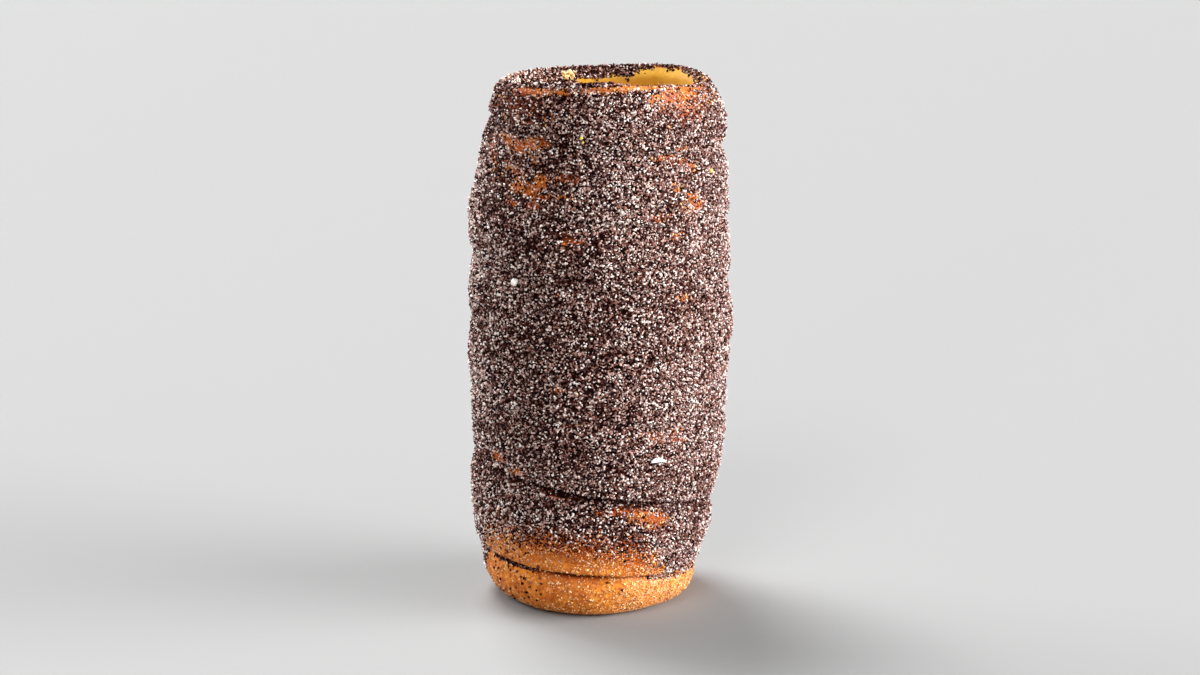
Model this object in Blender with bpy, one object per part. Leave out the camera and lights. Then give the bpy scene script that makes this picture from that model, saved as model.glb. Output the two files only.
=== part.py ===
"""Poppy seed chimney cake: a ribbon of yeast dough wound on a tapered spit, baked, and rolled in seeds.

The cake stands on its narrow end. +Z is up, the origin is under the middle of the cake at the foot, and
the front faces -Y. Lengths are in metres. An azimuth is 0 at the front and grows towards +X, so that it
is 90 degrees on the right. The ribbon climbs as the azimuth falls.
"""

import bisect
import math
import random

import bmesh
import bpy
from mathutils import Matrix, Vector
from mathutils.bvhtree import BVHTree

# Driving dimensions of the baked tube
HEIGHT = 0.200
BELLY_RADIUS = 0.050
BORE_RADIUS_FOOT = 0.0285
BORE_RADIUS_RIM = 0.0355

# Outer wall: share of the height, and share of the belly radius, at the crowns of the turns
WALL_OUTLINE = (
    (0.070, 0.850),
    (0.135, 0.915),
    (0.225, 0.962),
    (0.375, 0.985),
    (0.500, 1.000),
    (0.625, 0.992),
    (0.760, 0.988),
    (0.815, 0.966),
    (0.860, 0.936),
    (0.930, 0.914),
)

# Axis of the hand-wound tube: share of the height, and how far it has strayed towards +X
AXIS_SHIFT = (
    (0.00, -0.0011),
    (0.06, -0.0029),
    (0.21, -0.0026),
    (0.30, -0.0004),
    (0.54, 0.0006),
    (0.66, 0.0000),
    (0.74, -0.0005),
    (0.79, 0.0004),
    (0.84, 0.0015),
    (0.94, 0.0024),
    (1.00, 0.0023),
)

# Foot: the lowest turn rolls under to a flat ring that the cake stands on
FOOT_RING_OUTER = 0.0335
FOOT_RING_INNER = 0.0300
FOOT_ROUND_POWER = 1.05

# Rim: the last turn rolls over to a crest and down into the bore
RIM_CREST_RADIUS = 0.0394
RIM_INNER_DROP = 0.005

# The ribbon ends in a hump on the rim: azimuth in degrees, and rise of the rim's crest
RIM_RISE = (
    (-180, -0.0010),
    (-135, -0.0002),
    (-95, 0.0000),
    (-50, 0.0030),
    (-10, 0.0050),
    (30, 0.0034),
    (60, 0.0013),
    (90, 0.0005),
    (135, 0.0014),
    (180, -0.0010),
)
RIM_RISE_STARTS = 0.88  # share of the height

# Seam between the turns, which climbs from right to left: height at the right side, the front, the left
# side, and how strongly it is creased
SEAMS = (
    (0.0120, 0.0169, 0.0208, 1.00),
    (0.0376, 0.0492, 0.0577, 0.90),
    (0.0736, 0.0780, 0.0843, 0.50),
    (0.1001, 0.1030, 0.1103, 0.50),
    (0.1244, 0.1290, 0.1365, 0.60),
    (0.1477, 0.1540, 0.1608, 0.70),
    (0.1754, 0.1797, 0.1876, 0.70),
)
SEAM_RUNS_OUT = (0.1915, 0.1955, 0.60)  # back and right side of the last turn, and its crease
TURNS = len(SEAMS) + 1

# Cross-section of a turn: pillow between two creases, its lower edge lapping over the turn below
CREASE_DEPTH = 0.0021
CREASE_POWER = 9
PILLOW_DEPTH = 0.0009
PILLOW_POWER = 2.4
LAP = 0.0009
TUCK = 0.0009

# Slow unevenness of hand-wound dough: height of a lump, lumps round the cake, and lumps up it
LUMPS = ((0.0006, 2, 3.1, 0.4), (0.0005, 3, 5.3, 1.9), (0.0004, 5, 8.7, 3.2))

# Mesh of the tube
COLUMNS = 56
ROW_SHARES = (0.0, 0.055, 0.22, 0.50, 0.78, 0.945)
BORE_ROWS = 5
MERGE = 0.0003

# Seeds and sugar fused to the crust
SEED_COUNT = 120
SEED_RADIUS_LARGE = 0.00085
SEED_RADIUS_SMALL = 0.00068
SEED_LENGTHS = (1.25, 0.95, 0.85)
SEED_STANDS_PROUD = 0.0001
SEEDED_FROM = 0.024
SEEDED_TO = 0.194
SEED_JITTER = 0.0016
GOLDEN_ANGLE = math.pi * (3 - math.sqrt(5))
RANDOM_START = 7

# Larger bits stuck to the front: azimuth in degrees, height, and the half sizes round, up and out
PEARL = (-40, 0.1299, (0.0015, 0.0017, 0.0014))
FLAKE = (27.7, 0.0641, (0.0020, 0.0009, 0.0008))

CRUST_COLOUR = (0.30, 0.17, 0.11, 1.0)
CRUST_ROUGHNESS = 0.6


def clear_scene():
    """Remove whatever the file holds."""
    for thing in list(bpy.data.objects):
        bpy.data.objects.remove(thing, do_unlink=True)


def smooth_value(points, at):
    """Cubic curve through (place, value) points, level past the ends."""
    places = [place for place, _ in points]
    values = [value for _, value in points]
    if at <= places[0]:
        return values[0]
    if at >= places[-1]:
        return values[-1]
    right = bisect.bisect_right(places, at)
    left = right - 1
    step = places[right] - places[left]

    def slope(index):
        before = max(index - 1, 0)
        after = min(index + 1, len(places) - 1)
        return (values[after] - values[before]) / (places[after] - places[before])

    share = (at - places[left]) / step
    start_weight = (1 + 2 * share) * (1 - share) ** 2
    end_weight = share**2 * (3 - 2 * share)
    start_bend = share * (1 - share) ** 2 * step * slope(left)
    end_bend = share**2 * (share - 1) * step * slope(right)
    return start_weight * values[left] + end_weight * values[right] + start_bend + end_bend


def seam_tables():
    """(turn, height) and (turn, crease) of the seam at each quarter turn, from the foot to the rim."""
    heights, creases = [(0.0, 0.0)], [(0.0, 0.0)]
    for turn, (right, front, left, crease) in enumerate(SEAMS, start=1):
        if turn > 1:
            heights.append((turn - 0.5, (heights[-1][1] + right) / 2))
        heights.append((turn - 0.25, right))
        heights.append((turn, front))
        heights.append((turn + 0.25, left))
        creases.append((turn, crease))
    back, right, crease = SEAM_RUNS_OUT
    heights.append((TURNS - 0.5, back))
    heights.append((TURNS - 0.25, right))
    heights.append((float(TURNS), HEIGHT))
    creases.append((float(TURNS), crease))
    return heights, creases


SEAM_HEIGHTS, SEAM_CREASES = seam_tables()


def seam_height(turn):
    """Height of the seam after so many turns. It lies at the foot before turn 0 and at the rim past the last."""
    return smooth_value(SEAM_HEIGHTS, turn)


def wall_radius(height):
    """Radius of the outer wall between the foot's round and the rim's."""
    points = [(share * HEIGHT, ratio * BELLY_RADIUS) for share, ratio in WALL_OUTLINE]
    return smooth_value(points, height)


def outline(height):
    """(radius, height) of the outer outline. Near its ends the argument runs round the foot and the rim."""
    foot_top = WALL_OUTLINE[0][0] * HEIGHT
    rim_start = WALL_OUTLINE[-1][0] * HEIGHT
    if height < foot_top:
        angle = math.pi / 2 * max(height, 0.0) / foot_top
        reach = wall_radius(foot_top) - FOOT_RING_OUTER
        across = math.sin(angle) ** FOOT_ROUND_POWER
        return FOOT_RING_OUTER + reach * across, foot_top * (1 - math.cos(angle))
    if height > rim_start:
        angle = math.pi / 2 * (min(height, HEIGHT) - rim_start) / (HEIGHT - rim_start)
        reach = wall_radius(rim_start) - RIM_CREST_RADIUS
        return RIM_CREST_RADIUS + reach * math.cos(angle), rim_start + (HEIGHT - rim_start) * math.sin(angle)
    return wall_radius(height), height


def outline_normal(height):
    """Outward (radius, height) direction of the outer outline."""
    step = HEIGHT / 400
    low_radius, low_height = outline(max(height - step, 0.0))
    high_radius, high_height = outline(min(height + step, HEIGHT))
    along = math.hypot(high_radius - low_radius, high_height - low_height)
    return (high_height - low_height) / along, (low_radius - high_radius) / along


def axis_shift(height):
    """How far the tube's axis has strayed towards +X at a height."""
    return smooth_value(AXIS_SHIFT, height / HEIGHT)


def rim_rise(azimuth, height):
    """Rise of the rim at an azimuth, eased in below it."""
    degrees = (math.degrees(azimuth) + 180) % 360 - 180
    share = max(0.0, (height / HEIGHT - RIM_RISE_STARTS) / (1 - RIM_RISE_STARTS))
    return smooth_value(RIM_RISE, degrees) * share**1.5


def place(azimuth, radius, height):
    """Point at an azimuth, at a radius from the tube's axis."""
    across = axis_shift(height) + radius * math.sin(azimuth)
    return Vector((across, -radius * math.cos(azimuth), height + rim_rise(azimuth, height)))


def lump(azimuth, height):
    """Slow in and out of the wall."""
    total = 0.0
    for size, round_count, up_count, start in LUMPS:
        up = math.sin(up_count * 2 * math.pi * height / HEIGHT + start)
        total += size * up * math.cos(round_count * azimuth + start)
    return total


def relief(share, strength):
    """How far a turn stands out from the outline, at a share of its width from its lower seam."""
    edge = abs(2 * share - 1)
    crease = CREASE_DEPTH * edge**CREASE_POWER
    pillow = PILLOW_DEPTH * edge**PILLOW_POWER
    lap = LAP * (0.5 - share) * (1 - edge**CREASE_POWER)
    return strength * (lap - crease - pillow)


def wall_point(turn, share):
    """Point on the outer wall, on the turn of ribbon above a place on the seam."""
    azimuth = -2 * math.pi * turn
    low, high = seam_height(turn), seam_height(turn + 1)
    height = low + share * (high - low)
    edge = abs(2 * share - 1)
    crease = smooth_value(SEAM_CREASES, turn if share < 0.5 else turn + 1)
    open_seam = min(1.0, (high - low) / 0.012)
    away_from_foot = min(1.0, height / 0.006)
    away_from_rim = min(1.0, (HEIGHT - height) / 0.008)
    strength = crease * open_seam * away_from_foot * away_from_rim
    height += TUCK * strength * edge ** (2 * CREASE_POWER)
    radius, level = outline(height)
    out_radius, out_height = outline_normal(height)
    stands_out = relief(share, strength) + lump(azimuth, height) * away_from_foot * away_from_rim
    above_ground = max(0.0, level + stands_out * out_height)
    return place(azimuth, radius + stands_out * out_radius, above_ground)


def bore_radius(height):
    """Radius of the tapered bore that the spit leaves."""
    return BORE_RADIUS_FOOT + (BORE_RADIUS_RIM - BORE_RADIUS_FOOT) * height / HEIGHT


def inner_rings():
    """(radius, height) of the level rings from the rim's crest down the bore to the foot."""
    rings = []
    rim_bottom = HEIGHT - RIM_INNER_DROP
    for degrees in (35, 70):
        angle = math.radians(degrees)
        reach = RIM_CREST_RADIUS - bore_radius(rim_bottom)
        radius = bore_radius(rim_bottom) + reach * math.cos(angle)
        rings.append((radius, HEIGHT - RIM_INNER_DROP * (1 - math.cos(angle))))
    foot_edge = FOOT_RING_INNER - BORE_RADIUS_FOOT
    for row in range(BORE_ROWS + 1):
        height = rim_bottom + (foot_edge - rim_bottom) * row / BORE_ROWS
        rings.append((bore_radius(height), height))
    rings.append((FOOT_RING_INNER, 0.0))
    return rings


def wound_tube():
    """The whole tube as one closed mesh: the helical outer wall, then level rings down the bore."""
    mesh = bmesh.new()
    grid = {}
    rows = len(ROW_SHARES)
    first, last = -COLUMNS, TURNS * COLUMNS
    for column in range(first, last + COLUMNS + 1):
        for row, share in enumerate(ROW_SHARES):
            grid[column, row] = mesh.verts.new(wall_point(column / COLUMNS, share))
            if column > last:
                break

    def corner(column, row):
        return grid[column + COLUMNS, 0] if row == rows else grid[column, row]

    for column in range(first, last):
        for row in range(rows):
            corners = (
                corner(column, row),
                corner(column, row + 1),
                corner(column + 1, row + 1),
                corner(column + 1, row),
            )
            mesh.faces.new(corners)

    rings = []
    for radius, height in inner_rings():
        ring = []
        for column in range(COLUMNS + 1):
            azimuth = -2 * math.pi * column / COLUMNS
            ring.append(mesh.verts.new(place(azimuth, radius, height)))
        rings.append(ring)
    crest = [grid[last + column, 0] for column in range(COLUMNS + 1)]
    foot = [grid[first + column, 0] for column in range(COLUMNS + 1)]
    bands = [crest, *rings, foot]
    for upper, lower in zip(bands, bands[1:]):
        for column in range(COLUMNS):
            mesh.faces.new((upper[column], lower[column], lower[column + 1], upper[column + 1]))

    bmesh.ops.remove_doubles(mesh, verts=mesh.verts, dist=MERGE)
    bmesh.ops.dissolve_degenerate(mesh, dist=MERGE / 10, edges=mesh.edges)
    bmesh.ops.triangulate(mesh, faces=[face for face in mesh.faces if len(face.verts) > 4])
    bmesh.ops.recalc_face_normals(mesh, faces=mesh.faces)
    return mesh


def crust_material():
    """Baked crust under seeds and sugar."""
    material = bpy.data.materials.new("seeded_crust")
    material.use_nodes = True
    surface = material.node_tree.nodes["Principled BSDF"]
    surface.inputs["Base Color"].default_value = CRUST_COLOUR
    surface.inputs["Roughness"].default_value = CRUST_ROUGHNESS
    surface.inputs["Metallic"].default_value = 0.0
    return material


def cake_object(material):
    """The tube as an object."""
    mesh = wound_tube()
    data = bpy.data.meshes.new("chimney_cake")
    mesh.to_mesh(data)
    mesh.free()
    data.materials.append(material)
    cake = bpy.data.objects.new("chimney_cake", data)
    bpy.context.scene.collection.objects.link(cake)
    return cake


def bit(name, wall, azimuth, height, half_sizes, spin, material):
    """One seed or crumb that stands half sunk in the wall. Half sizes are round, up and out."""
    inward = Vector((-math.sin(azimuth), math.cos(azimuth), 0.0))
    centre, outward, _, _ = wall.ray_cast(place(azimuth, 2 * BELLY_RADIUS, height), inward)
    up = Vector((0, 0, 1))
    across = up.cross(outward).normalized()
    frame = Matrix((across, outward.cross(across), outward)).transposed()
    turned = frame @ Matrix.Rotation(spin, 3, "Z")
    mesh = bmesh.new()
    bmesh.ops.create_icosphere(mesh, subdivisions=1, radius=1.0)
    bmesh.ops.scale(mesh, vec=Vector(half_sizes), verts=mesh.verts)
    bmesh.ops.transform(mesh, matrix=turned.to_4x4(), verts=mesh.verts)
    bmesh.ops.translate(mesh, vec=centre + outward * SEED_STANDS_PROUD, verts=mesh.verts)
    data = bpy.data.meshes.new(name)
    mesh.to_mesh(data)
    mesh.free()
    data.materials.append(material)
    return bpy.data.objects.new(name, data)


def toppings(cake, material):
    """Collection of the seeds, spread evenly up and round the cake's wall, with the two larger bits."""
    group = bpy.data.collections.new("toppings")
    bpy.context.scene.collection.children.link(group)
    bpy.context.view_layer.update()
    wall = BVHTree.FromObject(cake, bpy.context.evaluated_depsgraph_get())
    draw = random.Random(RANDOM_START)
    for index in range(SEED_COUNT):
        share_up = (index + 0.5) / SEED_COUNT
        azimuth = index * GOLDEN_ANGLE + draw.uniform(-1, 1) * SEED_JITTER / BELLY_RADIUS
        height = SEEDED_FROM + (SEEDED_TO - SEEDED_FROM) * share_up + draw.uniform(-1, 1) * SEED_JITTER
        size = draw.uniform(SEED_RADIUS_SMALL, SEED_RADIUS_LARGE)
        half_sizes = [size * length for length in SEED_LENGTHS]
        spin = draw.uniform(0, math.pi)
        group.objects.link(bit(f"seed_{index}", wall, azimuth, height, half_sizes, spin, material))
    for name, (degrees, height, half_sizes) in (("pearl", PEARL), ("flake", FLAKE)):
        group.objects.link(bit(name, wall, math.radians(degrees), height, half_sizes, 0.0, material))
    return group


def fuse(cake, group):
    """Join the collection to the cake by one union, applied, and remove the collection's objects."""
    union = cake.modifiers.new("toppings", "BOOLEAN")
    union.operation = "UNION"
    union.operand_type = "COLLECTION"
    union.collection = group
    union.solver = "EXACT"
    bpy.context.view_layer.update()
    joined = bpy.data.meshes.new_from_object(cake.evaluated_get(bpy.context.evaluated_depsgraph_get()))
    cake.modifiers.clear()
    cake.data = joined
    joined.name = "chimney_cake"
    for thing in list(group.objects):
        bpy.data.objects.remove(thing, do_unlink=True)
    bpy.data.collections.remove(group)


def centre_over_origin(cake):
    """Move the mesh so that its box is centred on the origin and stands on the ground."""
    xs, ys, zs = zip(*(vertex.co for vertex in cake.data.vertices))
    shift = Vector((-(min(xs) + max(xs)) / 2, -(min(ys) + max(ys)) / 2, -min(zs)))
    cake.data.transform(Matrix.Translation(shift))


def main():
    """Build the cake."""
    clear_scene()
    material = crust_material()
    cake = cake_object(material)
    fuse(cake, toppings(cake, material))
    centre_over_origin(cake)
    cake.data.shade_smooth()
    cake.data.set_sharp_from_angle(angle=math.radians(50))


main()
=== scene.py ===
"""Dresses the poppy seed chimney cake: the baked dough, its coat of seeds and sugar, and the studio round it.

The dough is a fine mesh wound on the same helix as the solid that it replaces. Poppy seeds and sugar grains
are scattered over it one by one, as joined meshes. Lengths are in metres, +Z is up and the front faces -Y.
An azimuth is 0 at the front and grows towards +X. The ribbon of dough climbs as the azimuth falls.
"""

import logging
import math
from collections.abc import Sequence
from dataclasses import dataclass, field, fields, replace
from enum import Enum
from typing import ClassVar

import bmesh
import bpy
import numpy as np
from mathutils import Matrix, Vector, noise


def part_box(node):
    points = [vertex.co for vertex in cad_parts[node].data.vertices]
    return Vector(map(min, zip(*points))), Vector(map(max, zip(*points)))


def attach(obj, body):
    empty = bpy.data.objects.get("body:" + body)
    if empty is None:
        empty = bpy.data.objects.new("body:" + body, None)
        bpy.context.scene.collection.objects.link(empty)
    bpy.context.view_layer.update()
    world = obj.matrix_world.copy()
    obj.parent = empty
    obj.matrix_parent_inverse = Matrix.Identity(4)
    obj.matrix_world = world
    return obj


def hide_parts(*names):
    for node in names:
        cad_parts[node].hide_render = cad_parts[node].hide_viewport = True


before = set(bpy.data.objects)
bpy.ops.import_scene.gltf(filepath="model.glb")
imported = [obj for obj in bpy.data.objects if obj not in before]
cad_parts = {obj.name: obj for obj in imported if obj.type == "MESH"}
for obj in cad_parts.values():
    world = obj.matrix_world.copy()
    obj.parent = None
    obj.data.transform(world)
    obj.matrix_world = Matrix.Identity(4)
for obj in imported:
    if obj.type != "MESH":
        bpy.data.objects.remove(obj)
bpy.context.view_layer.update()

log = logging.getLogger("chimney_cake")

CAKE_NODE = "chimney_cake"
CAKE_BODY = "root"

# Points are (place, value) pairs of a curve. A step is its place for 0 and its place for 1.
# A hump is its middle and its half width. Limits are the least and the most that a value may be.
Points = Sequence[tuple[float, float]]
Step = tuple[float, float]
Hump = tuple[float, float]
Limits = tuple[float, float]
Colour = tuple[float, float, float]

Array = np.ndarray
Material = bpy.types.Material
Socket = bpy.types.NodeSocket
Tree = bpy.types.NodeTree
MeshData = bpy.types.Mesh
OpenMesh = bmesh.types.BMesh


def curve(points: Points, at: Array) -> Array:
    """Cubic curve through points, level past its ends.

    Args:
        points: (place, value) pairs in rising order of place.
        at: places to read.

    Returns:
        The value at each place.
    """
    places, values = np.array(points, dtype=float).T
    slopes = np.empty_like(values)
    slopes[1:-1] = (values[2:] - values[:-2]) / (places[2:] - places[:-2])
    slopes[0] = (values[1] - values[0]) / (places[1] - places[0])
    slopes[-1] = (values[-1] - values[-2]) / (places[-1] - places[-2])
    left = np.clip(np.searchsorted(places, at, side="right") - 1, 0, len(places) - 2)
    step = places[left + 1] - places[left]
    share = np.clip((at - places[left]) / step, 0, 1)
    start_weight = (1 + 2 * share) * (1 - share) ** 2
    end_weight = share**2 * (3 - 2 * share)
    start_bend = share * (1 - share) ** 2 * step * slopes[left]
    end_bend = share**2 * (share - 1) * step * slopes[left + 1]
    return start_weight * values[left] + end_weight * values[left + 1] + start_bend + end_bend


def ramp(low: float, high: float, at: Array) -> Array:
    """Straight step from 0 to 1, falling where high is below low."""
    return np.clip((at - low) / (high - low), 0, 1)


def ease(low: float, high: float, at: Array) -> Array:
    """Smooth step from 0 to 1, falling where high is below low."""
    share = ramp(low, high, at)
    return share**2 * (3 - 2 * share)


def hump(at: Array, middle: float = 0.0, half_width: float = 1.0, power: int = 2) -> Array:
    """Smooth hump that is 1 at its middle, and flatter on top where the power is more."""
    return np.exp(-(((at - middle) / half_width) ** power))


def wrapped(degrees: Array) -> Array:
    """Degrees brought to between -180 and 180."""
    return (degrees + 180) % 360 - 180


@dataclass(frozen=True)
class Waves:
    """Smooth chance pattern: its size, seed and strength, and how much flatter than wide its waves are."""

    size: float
    seed: float
    strength: float = 1.0
    flatness: float = 1.0

    def at(self, points: Array) -> Array:
        """Values at points, about -1 to 1 times the strength."""
        scaled = points * (1, 1, self.flatness) / self.size + self.seed
        return self.strength * np.array([noise.noise(Vector(place)) for place in scaled.tolist()])


def layered(layers: Sequence[Waves], points: Array) -> Array:
    """Layers of waves, added up at points."""
    return sum(layer.at(points) for layer in layers)


@dataclass(frozen=True)
class Arc:
    """Stretch round the cake, in degrees: where it starts, is full from, is full to, and ends."""

    starts: float
    full_from: float
    full_to: float
    ends: float

    def share(self, degrees: Array) -> Array:
        """1 along the arc, falling to 0 at its ends."""
        return ease(self.starts, self.full_from, degrees) * ease(self.ends, self.full_to, degrees)


@dataclass
class Rows:
    """Arrays that tell of the same places, one place a row."""

    def only(self, chosen: Array) -> "Rows":
        """Part of the rows, by mask or number."""
        return type(self)(*(getattr(self, item.name)[chosen] for item in fields(self)))

    def joined(self, other: "Rows") -> "Rows":
        """These rows and then the other ones."""
        pairs = ((getattr(self, item.name), getattr(other, item.name)) for item in fields(self))
        return type(self)(*(np.concatenate(pair) for pair in pairs))


@dataclass(frozen=True)
class Seam:
    """Seam between two turns: its height at the right, front and left, and how deep its crease is."""

    right: float
    front: float
    left: float
    crease: float


@dataclass(frozen=True)
class OpenSeam:
    """Stretch where a seam gapes: its middle and reach in turns, its depth, and how narrow it is."""

    middle: float
    reach: float
    depth: float
    narrowness: float


@dataclass(frozen=True)
class Lump:
    """Slow wave of the wall: its size, its counts round and up the cake, and where it starts."""

    size: float
    round_count: int
    up_count: float
    start: float


@dataclass
class WoundTube:
    """Form of the hand-wound tube, the same as the solid's and finer."""

    height: float
    belly_radius: float = 0.05
    bore_radius_foot: float = 0.0285
    bore_radius_rim: float = 0.0355
    wall_outline: Points = (
        (0.07, 0.836), (0.135, 0.892), (0.225, 0.924), (0.285, 0.952), (0.375, 0.977), (0.5, 0.984),
        (0.625, 0.978), (0.76, 0.982), (0.815, 0.942), (0.86, 0.908), (0.93, 0.884),
    )
    axis_shift: Points = (
        (0, -0.0016), (0.06, -0.0023), (0.13, -0.002), (0.21, -0.0019), (0.3, 0.0006), (0.4, 0.0002),
        (0.49, 0.0012), (0.6, 0.0009), (0.66, 0.0014), (0.74, 0.0001), (0.79, 0.0005), (0.84, 0.0027),
        (0.88, 0.0022), (0.94, 0.0033), (1, 0.0026),
    )
    centring: tuple[float, float] = (-0.00024, -0.00007)
    normal_steps: int = 400
    foot_ring_outer: float = 0.0316
    foot_ring_inner: float = 0.03
    foot_round_power: float = 1.05
    foot_pinch: float = 0.0012
    foot_pinch_heights: Step = (0.013, 0.003)
    foot_fade: Step = (0.0, 0.006)
    rim_crest_radius: float = 0.0394
    rim_inner_drop: float = 0.005
    rim_pinch: float = 0.0016
    rim_pinch_power: float = 0.7
    rim_fade: Step = (0.0, 0.008)
    rim_rise: Points = (
        (-180, -0.001), (-135, -0.0002), (-95, 0.0), (-50, 0.003), (-10, 0.005),
        (30, 0.0034), (60, 0.0013), (90, 0.0005), (135, 0.0014), (180, -0.001),
    )
    rim_rise_starts: float = 0.88
    rim_rise_power: float = 1.5
    seams: Sequence[Seam] = tuple(Seam(*row) for row in (
        (0.012, 0.0169, 0.0208, 0.75), (0.0376, 0.0492, 0.0577, 0.9), (0.0736, 0.078, 0.0843, 0.5),
        (0.1001, 0.103, 0.1103, 0.5), (0.1244, 0.129, 0.1365, 0.6), (0.1477, 0.154, 0.1608, 0.7),
        (0.1754, 0.1797, 0.1876, 0.7),
    ))
    last_back: float = 0.1915
    last_right: float = 0.1955
    last_crease: float = 0.6
    full_ribbon: Step = (0.0, 0.012)
    crease_depth: float = 0.0021
    crease_power: float = 9
    pillow_depth: float = 0.0009
    pillow_power: float = 2.4
    lap: float = 0.0009
    tuck: float = 0.0012
    lip_stands: float = 0.0004
    lip: Hump = (0.0016, 0.0011)
    lumps: Sequence[Lump] = tuple(Lump(*row) for row in (
        (0.0006, 2, 3.1, 0.4), (0.0005, 3, 5.3, 1.9), (0.0004, 5, 8.7, 3.2),
    ))
    open_seams: Sequence[OpenSeam] = (
        OpenSeam(1.032, 0.064, 0.0044, 32),
        OpenSeam(1.964, 0.095, 0.0058, 22),
    )
    open_seam_end_power: int = 4
    open_seam_tuck: float = 0.0008
    open_seam_clear: float = 0.48
    open_lip: Hump = (0.84, 0.12)
    open_lip_above: float = 0.25
    open_lip_below: float = -0.125
    turns: int = field(init=False)
    seam_heights: Points = field(init=False)
    seam_creases: Points = field(init=False)

    def __post_init__(self) -> None:
        """Lay out the seam's height and crease, quarter turn by quarter turn."""
        self.turns = len(self.seams) + 1
        heights, creases = [(0.0, 0.0)], [(0.0, 0.0)]
        for turn, seam in enumerate(self.seams, start=1):
            if turn > 1:
                heights.append((turn - 0.5, (heights[-1][1] + seam.right) / 2))
            heights += [(turn - 0.25, seam.right), (turn, seam.front), (turn + 0.25, seam.left)]
            creases.append((turn, seam.crease))
        last = float(self.turns)
        heights += [(last - 0.5, self.last_back), (last - 0.25, self.last_right), (last, self.height)]
        creases.append((last, self.last_crease))
        self.seam_heights, self.seam_creases = heights, creases

    def seam_height(self, turn: Array) -> Array:
        """Height of the seam after so many turns."""
        return curve(self.seam_heights, turn)

    def outline(self, height: Array) -> tuple[Array, Array]:
        """Outer outline, which runs round the foot and the rim near its ends.

        Args:
            height: place along the outline, as a height.

        Returns:
            Radius and level of the outline.
        """
        at = np.clip(height, 0, self.height)
        foot_top = self.wall_outline[0][0] * self.height
        foot_angle = math.pi / 2 * np.clip(at / foot_top, 0, 1)
        foot_reach = self.wall_outline[0][1] * self.belly_radius - self.foot_ring_outer
        foot_radius = self.foot_ring_outer + foot_reach * np.sin(foot_angle) ** self.foot_round_power
        foot_level = foot_top * (1 - np.cos(foot_angle))
        rim_start = self.wall_outline[-1][0] * self.height
        rim_angle = math.pi / 2 * np.clip((at - rim_start) / (self.height - rim_start), 0, 1)
        rim_reach = self.wall_outline[-1][1] * self.belly_radius - self.rim_crest_radius
        rim_radius = self.rim_crest_radius + rim_reach * np.cos(rim_angle)
        rim_level = rim_start + (self.height - rim_start) * np.sin(rim_angle)
        scale = (self.height, self.belly_radius)
        wall = curve(np.array(self.wall_outline) * scale, at)
        radius = np.where(at < foot_top, foot_radius, np.where(at > rim_start, rim_radius, wall))
        level = np.where(at < foot_top, foot_level, np.where(at > rim_start, rim_level, at))
        return radius, level

    def outline_normal(self, height: Array) -> tuple[Array, Array]:
        """Outward direction of the outer outline.

        Args:
            height: place along the outline, as a height.

        Returns:
            Its part away from the axis and its part upwards.
        """
        step = self.height / self.normal_steps
        low_radius, low_level = self.outline(height - step)
        high_radius, high_level = self.outline(height + step)
        along = np.hypot(high_radius - low_radius, high_level - low_level)
        return (high_level - low_level) / along, (low_radius - high_radius) / along

    def place(self, azimuth: Array, radius: Array, height: Array) -> Array:
        """Points at a radius from the tube's axis, lifted where the rim rises.

        Args:
            azimuth: angle round the axis, in radians.
            radius: distance from the axis.
            height: height before the rim's rise.

        Returns:
            The points, with x, y and z along the last side of the array.
        """
        shift = curve(self.axis_shift, height / self.height)
        x = shift + radius * np.sin(azimuth) + self.centring[0]
        y = -radius * np.cos(azimuth) + self.centring[1]
        return np.stack(np.broadcast_arrays(x, y, height + self.lift(azimuth, height)), axis=-1)

    def lift(self, azimuth: Array, height: Array) -> Array:
        """How far the uneven rim lifts the wall.

        Args:
            azimuth: angle round the axis, in radians.
            height: height before the rim's rise.

        Returns:
            The lift.
        """
        starts = self.rim_rise_starts
        share = np.clip((height / self.height - starts) / (1 - starts), 0, None)
        return curve(self.rim_rise, wrapped(np.degrees(azimuth))) * share**self.rim_rise_power

    def lump(self, azimuth: Array, height: Array) -> Array:
        """Slow in and out of the wall.

        Args:
            azimuth: angle round the axis, in radians.
            height: height up the wall.

        Returns:
            How far the wall stands out.
        """
        total = np.zeros(np.broadcast(azimuth, height).shape)
        for lump in self.lumps:
            up = np.sin(lump.up_count * 2 * math.pi * height / self.height + lump.start)
            total += lump.size * up * np.cos(lump.round_count * azimuth + lump.start)
        return total

    def ribbon_relief(self, share: Array, above_seam: Array) -> Array:
        """How far the ribbon stands out across its width, where its seams are full.

        Args:
            share: share of the ribbon's width above its lower seam.
            above_seam: height above that seam.

        Returns:
            The relief, in at both seams and out at the lower lip.
        """
        edge = np.abs(2 * share - 1)
        crease = edge**self.crease_power
        relief = self.lap * (0.5 - share) * (1 - crease) + self.lip_stands * hump(above_seam, *self.lip)
        return relief - self.crease_depth * crease - self.pillow_depth * edge**self.pillow_power

    def gaping(self, turn: Array, share: Array) -> tuple[Array, Array, Array]:
        """What the open seams do to the wall.

        Args:
            turn: turns of the seam below each point.
            share: share of the ribbon's width above that seam.

        Returns:
            Relief, lift and how far each point lies in a gap.
        """
        edge = np.abs(2 * share - 1)
        lower_half = share < 0.5
        nearest_seam = np.where(lower_half, turn, turn + 1)
        relief, lift, pit = np.zeros_like(share), np.zeros_like(share), np.zeros_like(share)
        for seam in self.open_seams:
            gap = hump(nearest_seam, seam.middle, seam.reach, self.open_seam_end_power)
            cut = gap * edge**seam.narrowness
            lip = np.where(lower_half, self.open_lip_above, self.open_lip_below) * hump(edge, *self.open_lip)
            relief += seam.depth * (gap * lip - cut)
            lift += self.open_seam_tuck * cut
            pit = np.maximum(pit, gap**2 * edge ** (self.open_seam_clear * seam.narrowness))
        return relief, lift, pit

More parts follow.
